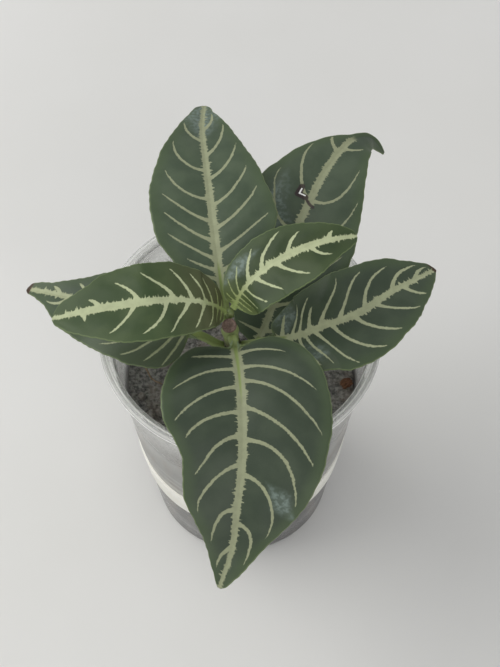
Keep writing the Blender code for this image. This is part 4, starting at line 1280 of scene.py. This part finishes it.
def make_chip():
    """A splintered slab: a cube, subdivided, then pushed about by noise that is stretched lengthways."""
    bpy.ops.object.select_all(action="DESELECT")
    bpy.ops.mesh.primitive_cube_add(size=1.0)
    piece = bpy.context.object
    piece.name = "bark_chip_fine"
    bpy.ops.object.mode_set(mode="EDIT")
    bpy.ops.mesh.subdivide(number_cuts=9)
    bpy.ops.object.mode_set(mode="OBJECT")
    mesh = piece.data
    length = mesh.attributes.new("length_mm", "FLOAT", "POINT")
    width = mesh.attributes.new("width_mm", "FLOAT", "POINT")
    turn = math.radians(CHIP_TURN)
    for index, vertex in enumerate(mesh.vertices):
        u, v, w = vertex.co
        taper = 1.0 - 1.6 * abs(u) ** 2.2
        x = u * CHIP_SIZE[0] + 0.8 * noise.noise(Vector((v * 9.0, w * 5.0, 1.0)))
        y = v * CHIP_SIZE[1] * taper + 0.5 * noise.noise(Vector((u * 3.0, v * 6.0, 4.0)))
        lift = (w + 0.5) * CHIP_SIZE[2] * (0.55 + 0.45 * taper) + 0.35 * noise.noise(Vector((u * 4.0, v * 14.0, w)))
        length.data[index].value, width.data[index].value = x, y
        vertex.co = (CHIP_CENTRE[0] + x * math.cos(turn) - y * math.sin(turn),
                     CHIP_CENTRE[1] + x * math.sin(turn) + y * math.cos(turn), SOIL_TOP + 0.2 + max(lift, 0.0))
        vertex.co *= MM
    only(piece)
    bpy.ops.object.shade_smooth_by_angle(angle=math.radians(40.0))
    mesh.materials.append(bark_finish())
    hand_over(piece, "bark", "bark_chip")


def rootlet_finish():
    finish = Finish("dry root")
    tone = finish.noise(800.0, detail=3.0)
    colour = finish.mix(tone.above(0.3, 0.7), (0.260, 0.180, 0.120), (0.420, 0.310, 0.220))
    return finish.set(Base_Color=colour, Roughness=0.75, Normal=finish.bump(tone, 0.0002, 0.5))


def make_rootlet(finish):
    path = smooth_path([(x, y, SOIL_TOP + 0.95) for x, y in ROOTLET_POINTS])
    share = np.linspace(0.0, 1.0, 60)
    radii = 0.4 * (1.0 - 0.4 * share) * np.minimum(1.0, 0.3 + 20.0 * np.minimum(share, 1.0 - share))
    points = round_skin(path, share * path[1][-1], radii, 14, bumps=0.25)
    piece = rolled_skin("rootlet_fine", points, {}, finish)
    hand_over(piece, "dry_root", "rootlet")


def grain_finish():
    finish = Finish("pale grains")
    tone = finish.noise(1500.0, detail=2.0)
    colour = finish.mix(tone.above(0.3, 0.7), (0.420, 0.400, 0.350), (0.560, 0.540, 0.480))
    return finish.set(Base_Color=colour, Roughness=0.8, Normal=finish.bump(tone, 0.0003, 0.6))


def make_grains():
    places = scattered_places(GRAIN_COUNT, 0.35, 0.8, 21, ((38.4, -3.6, 3.0), (-32.0, 0.0, 3.0)))
    places = [(x, y, z + 0.5, size) for x, y, z, size in places]
    piece = scatter("pale_grains", pebble(2), places, grain_finish())
    hand_over(piece, "potting_mix")


make_chip()
make_rootlet(rootlet_finish())
make_grains()
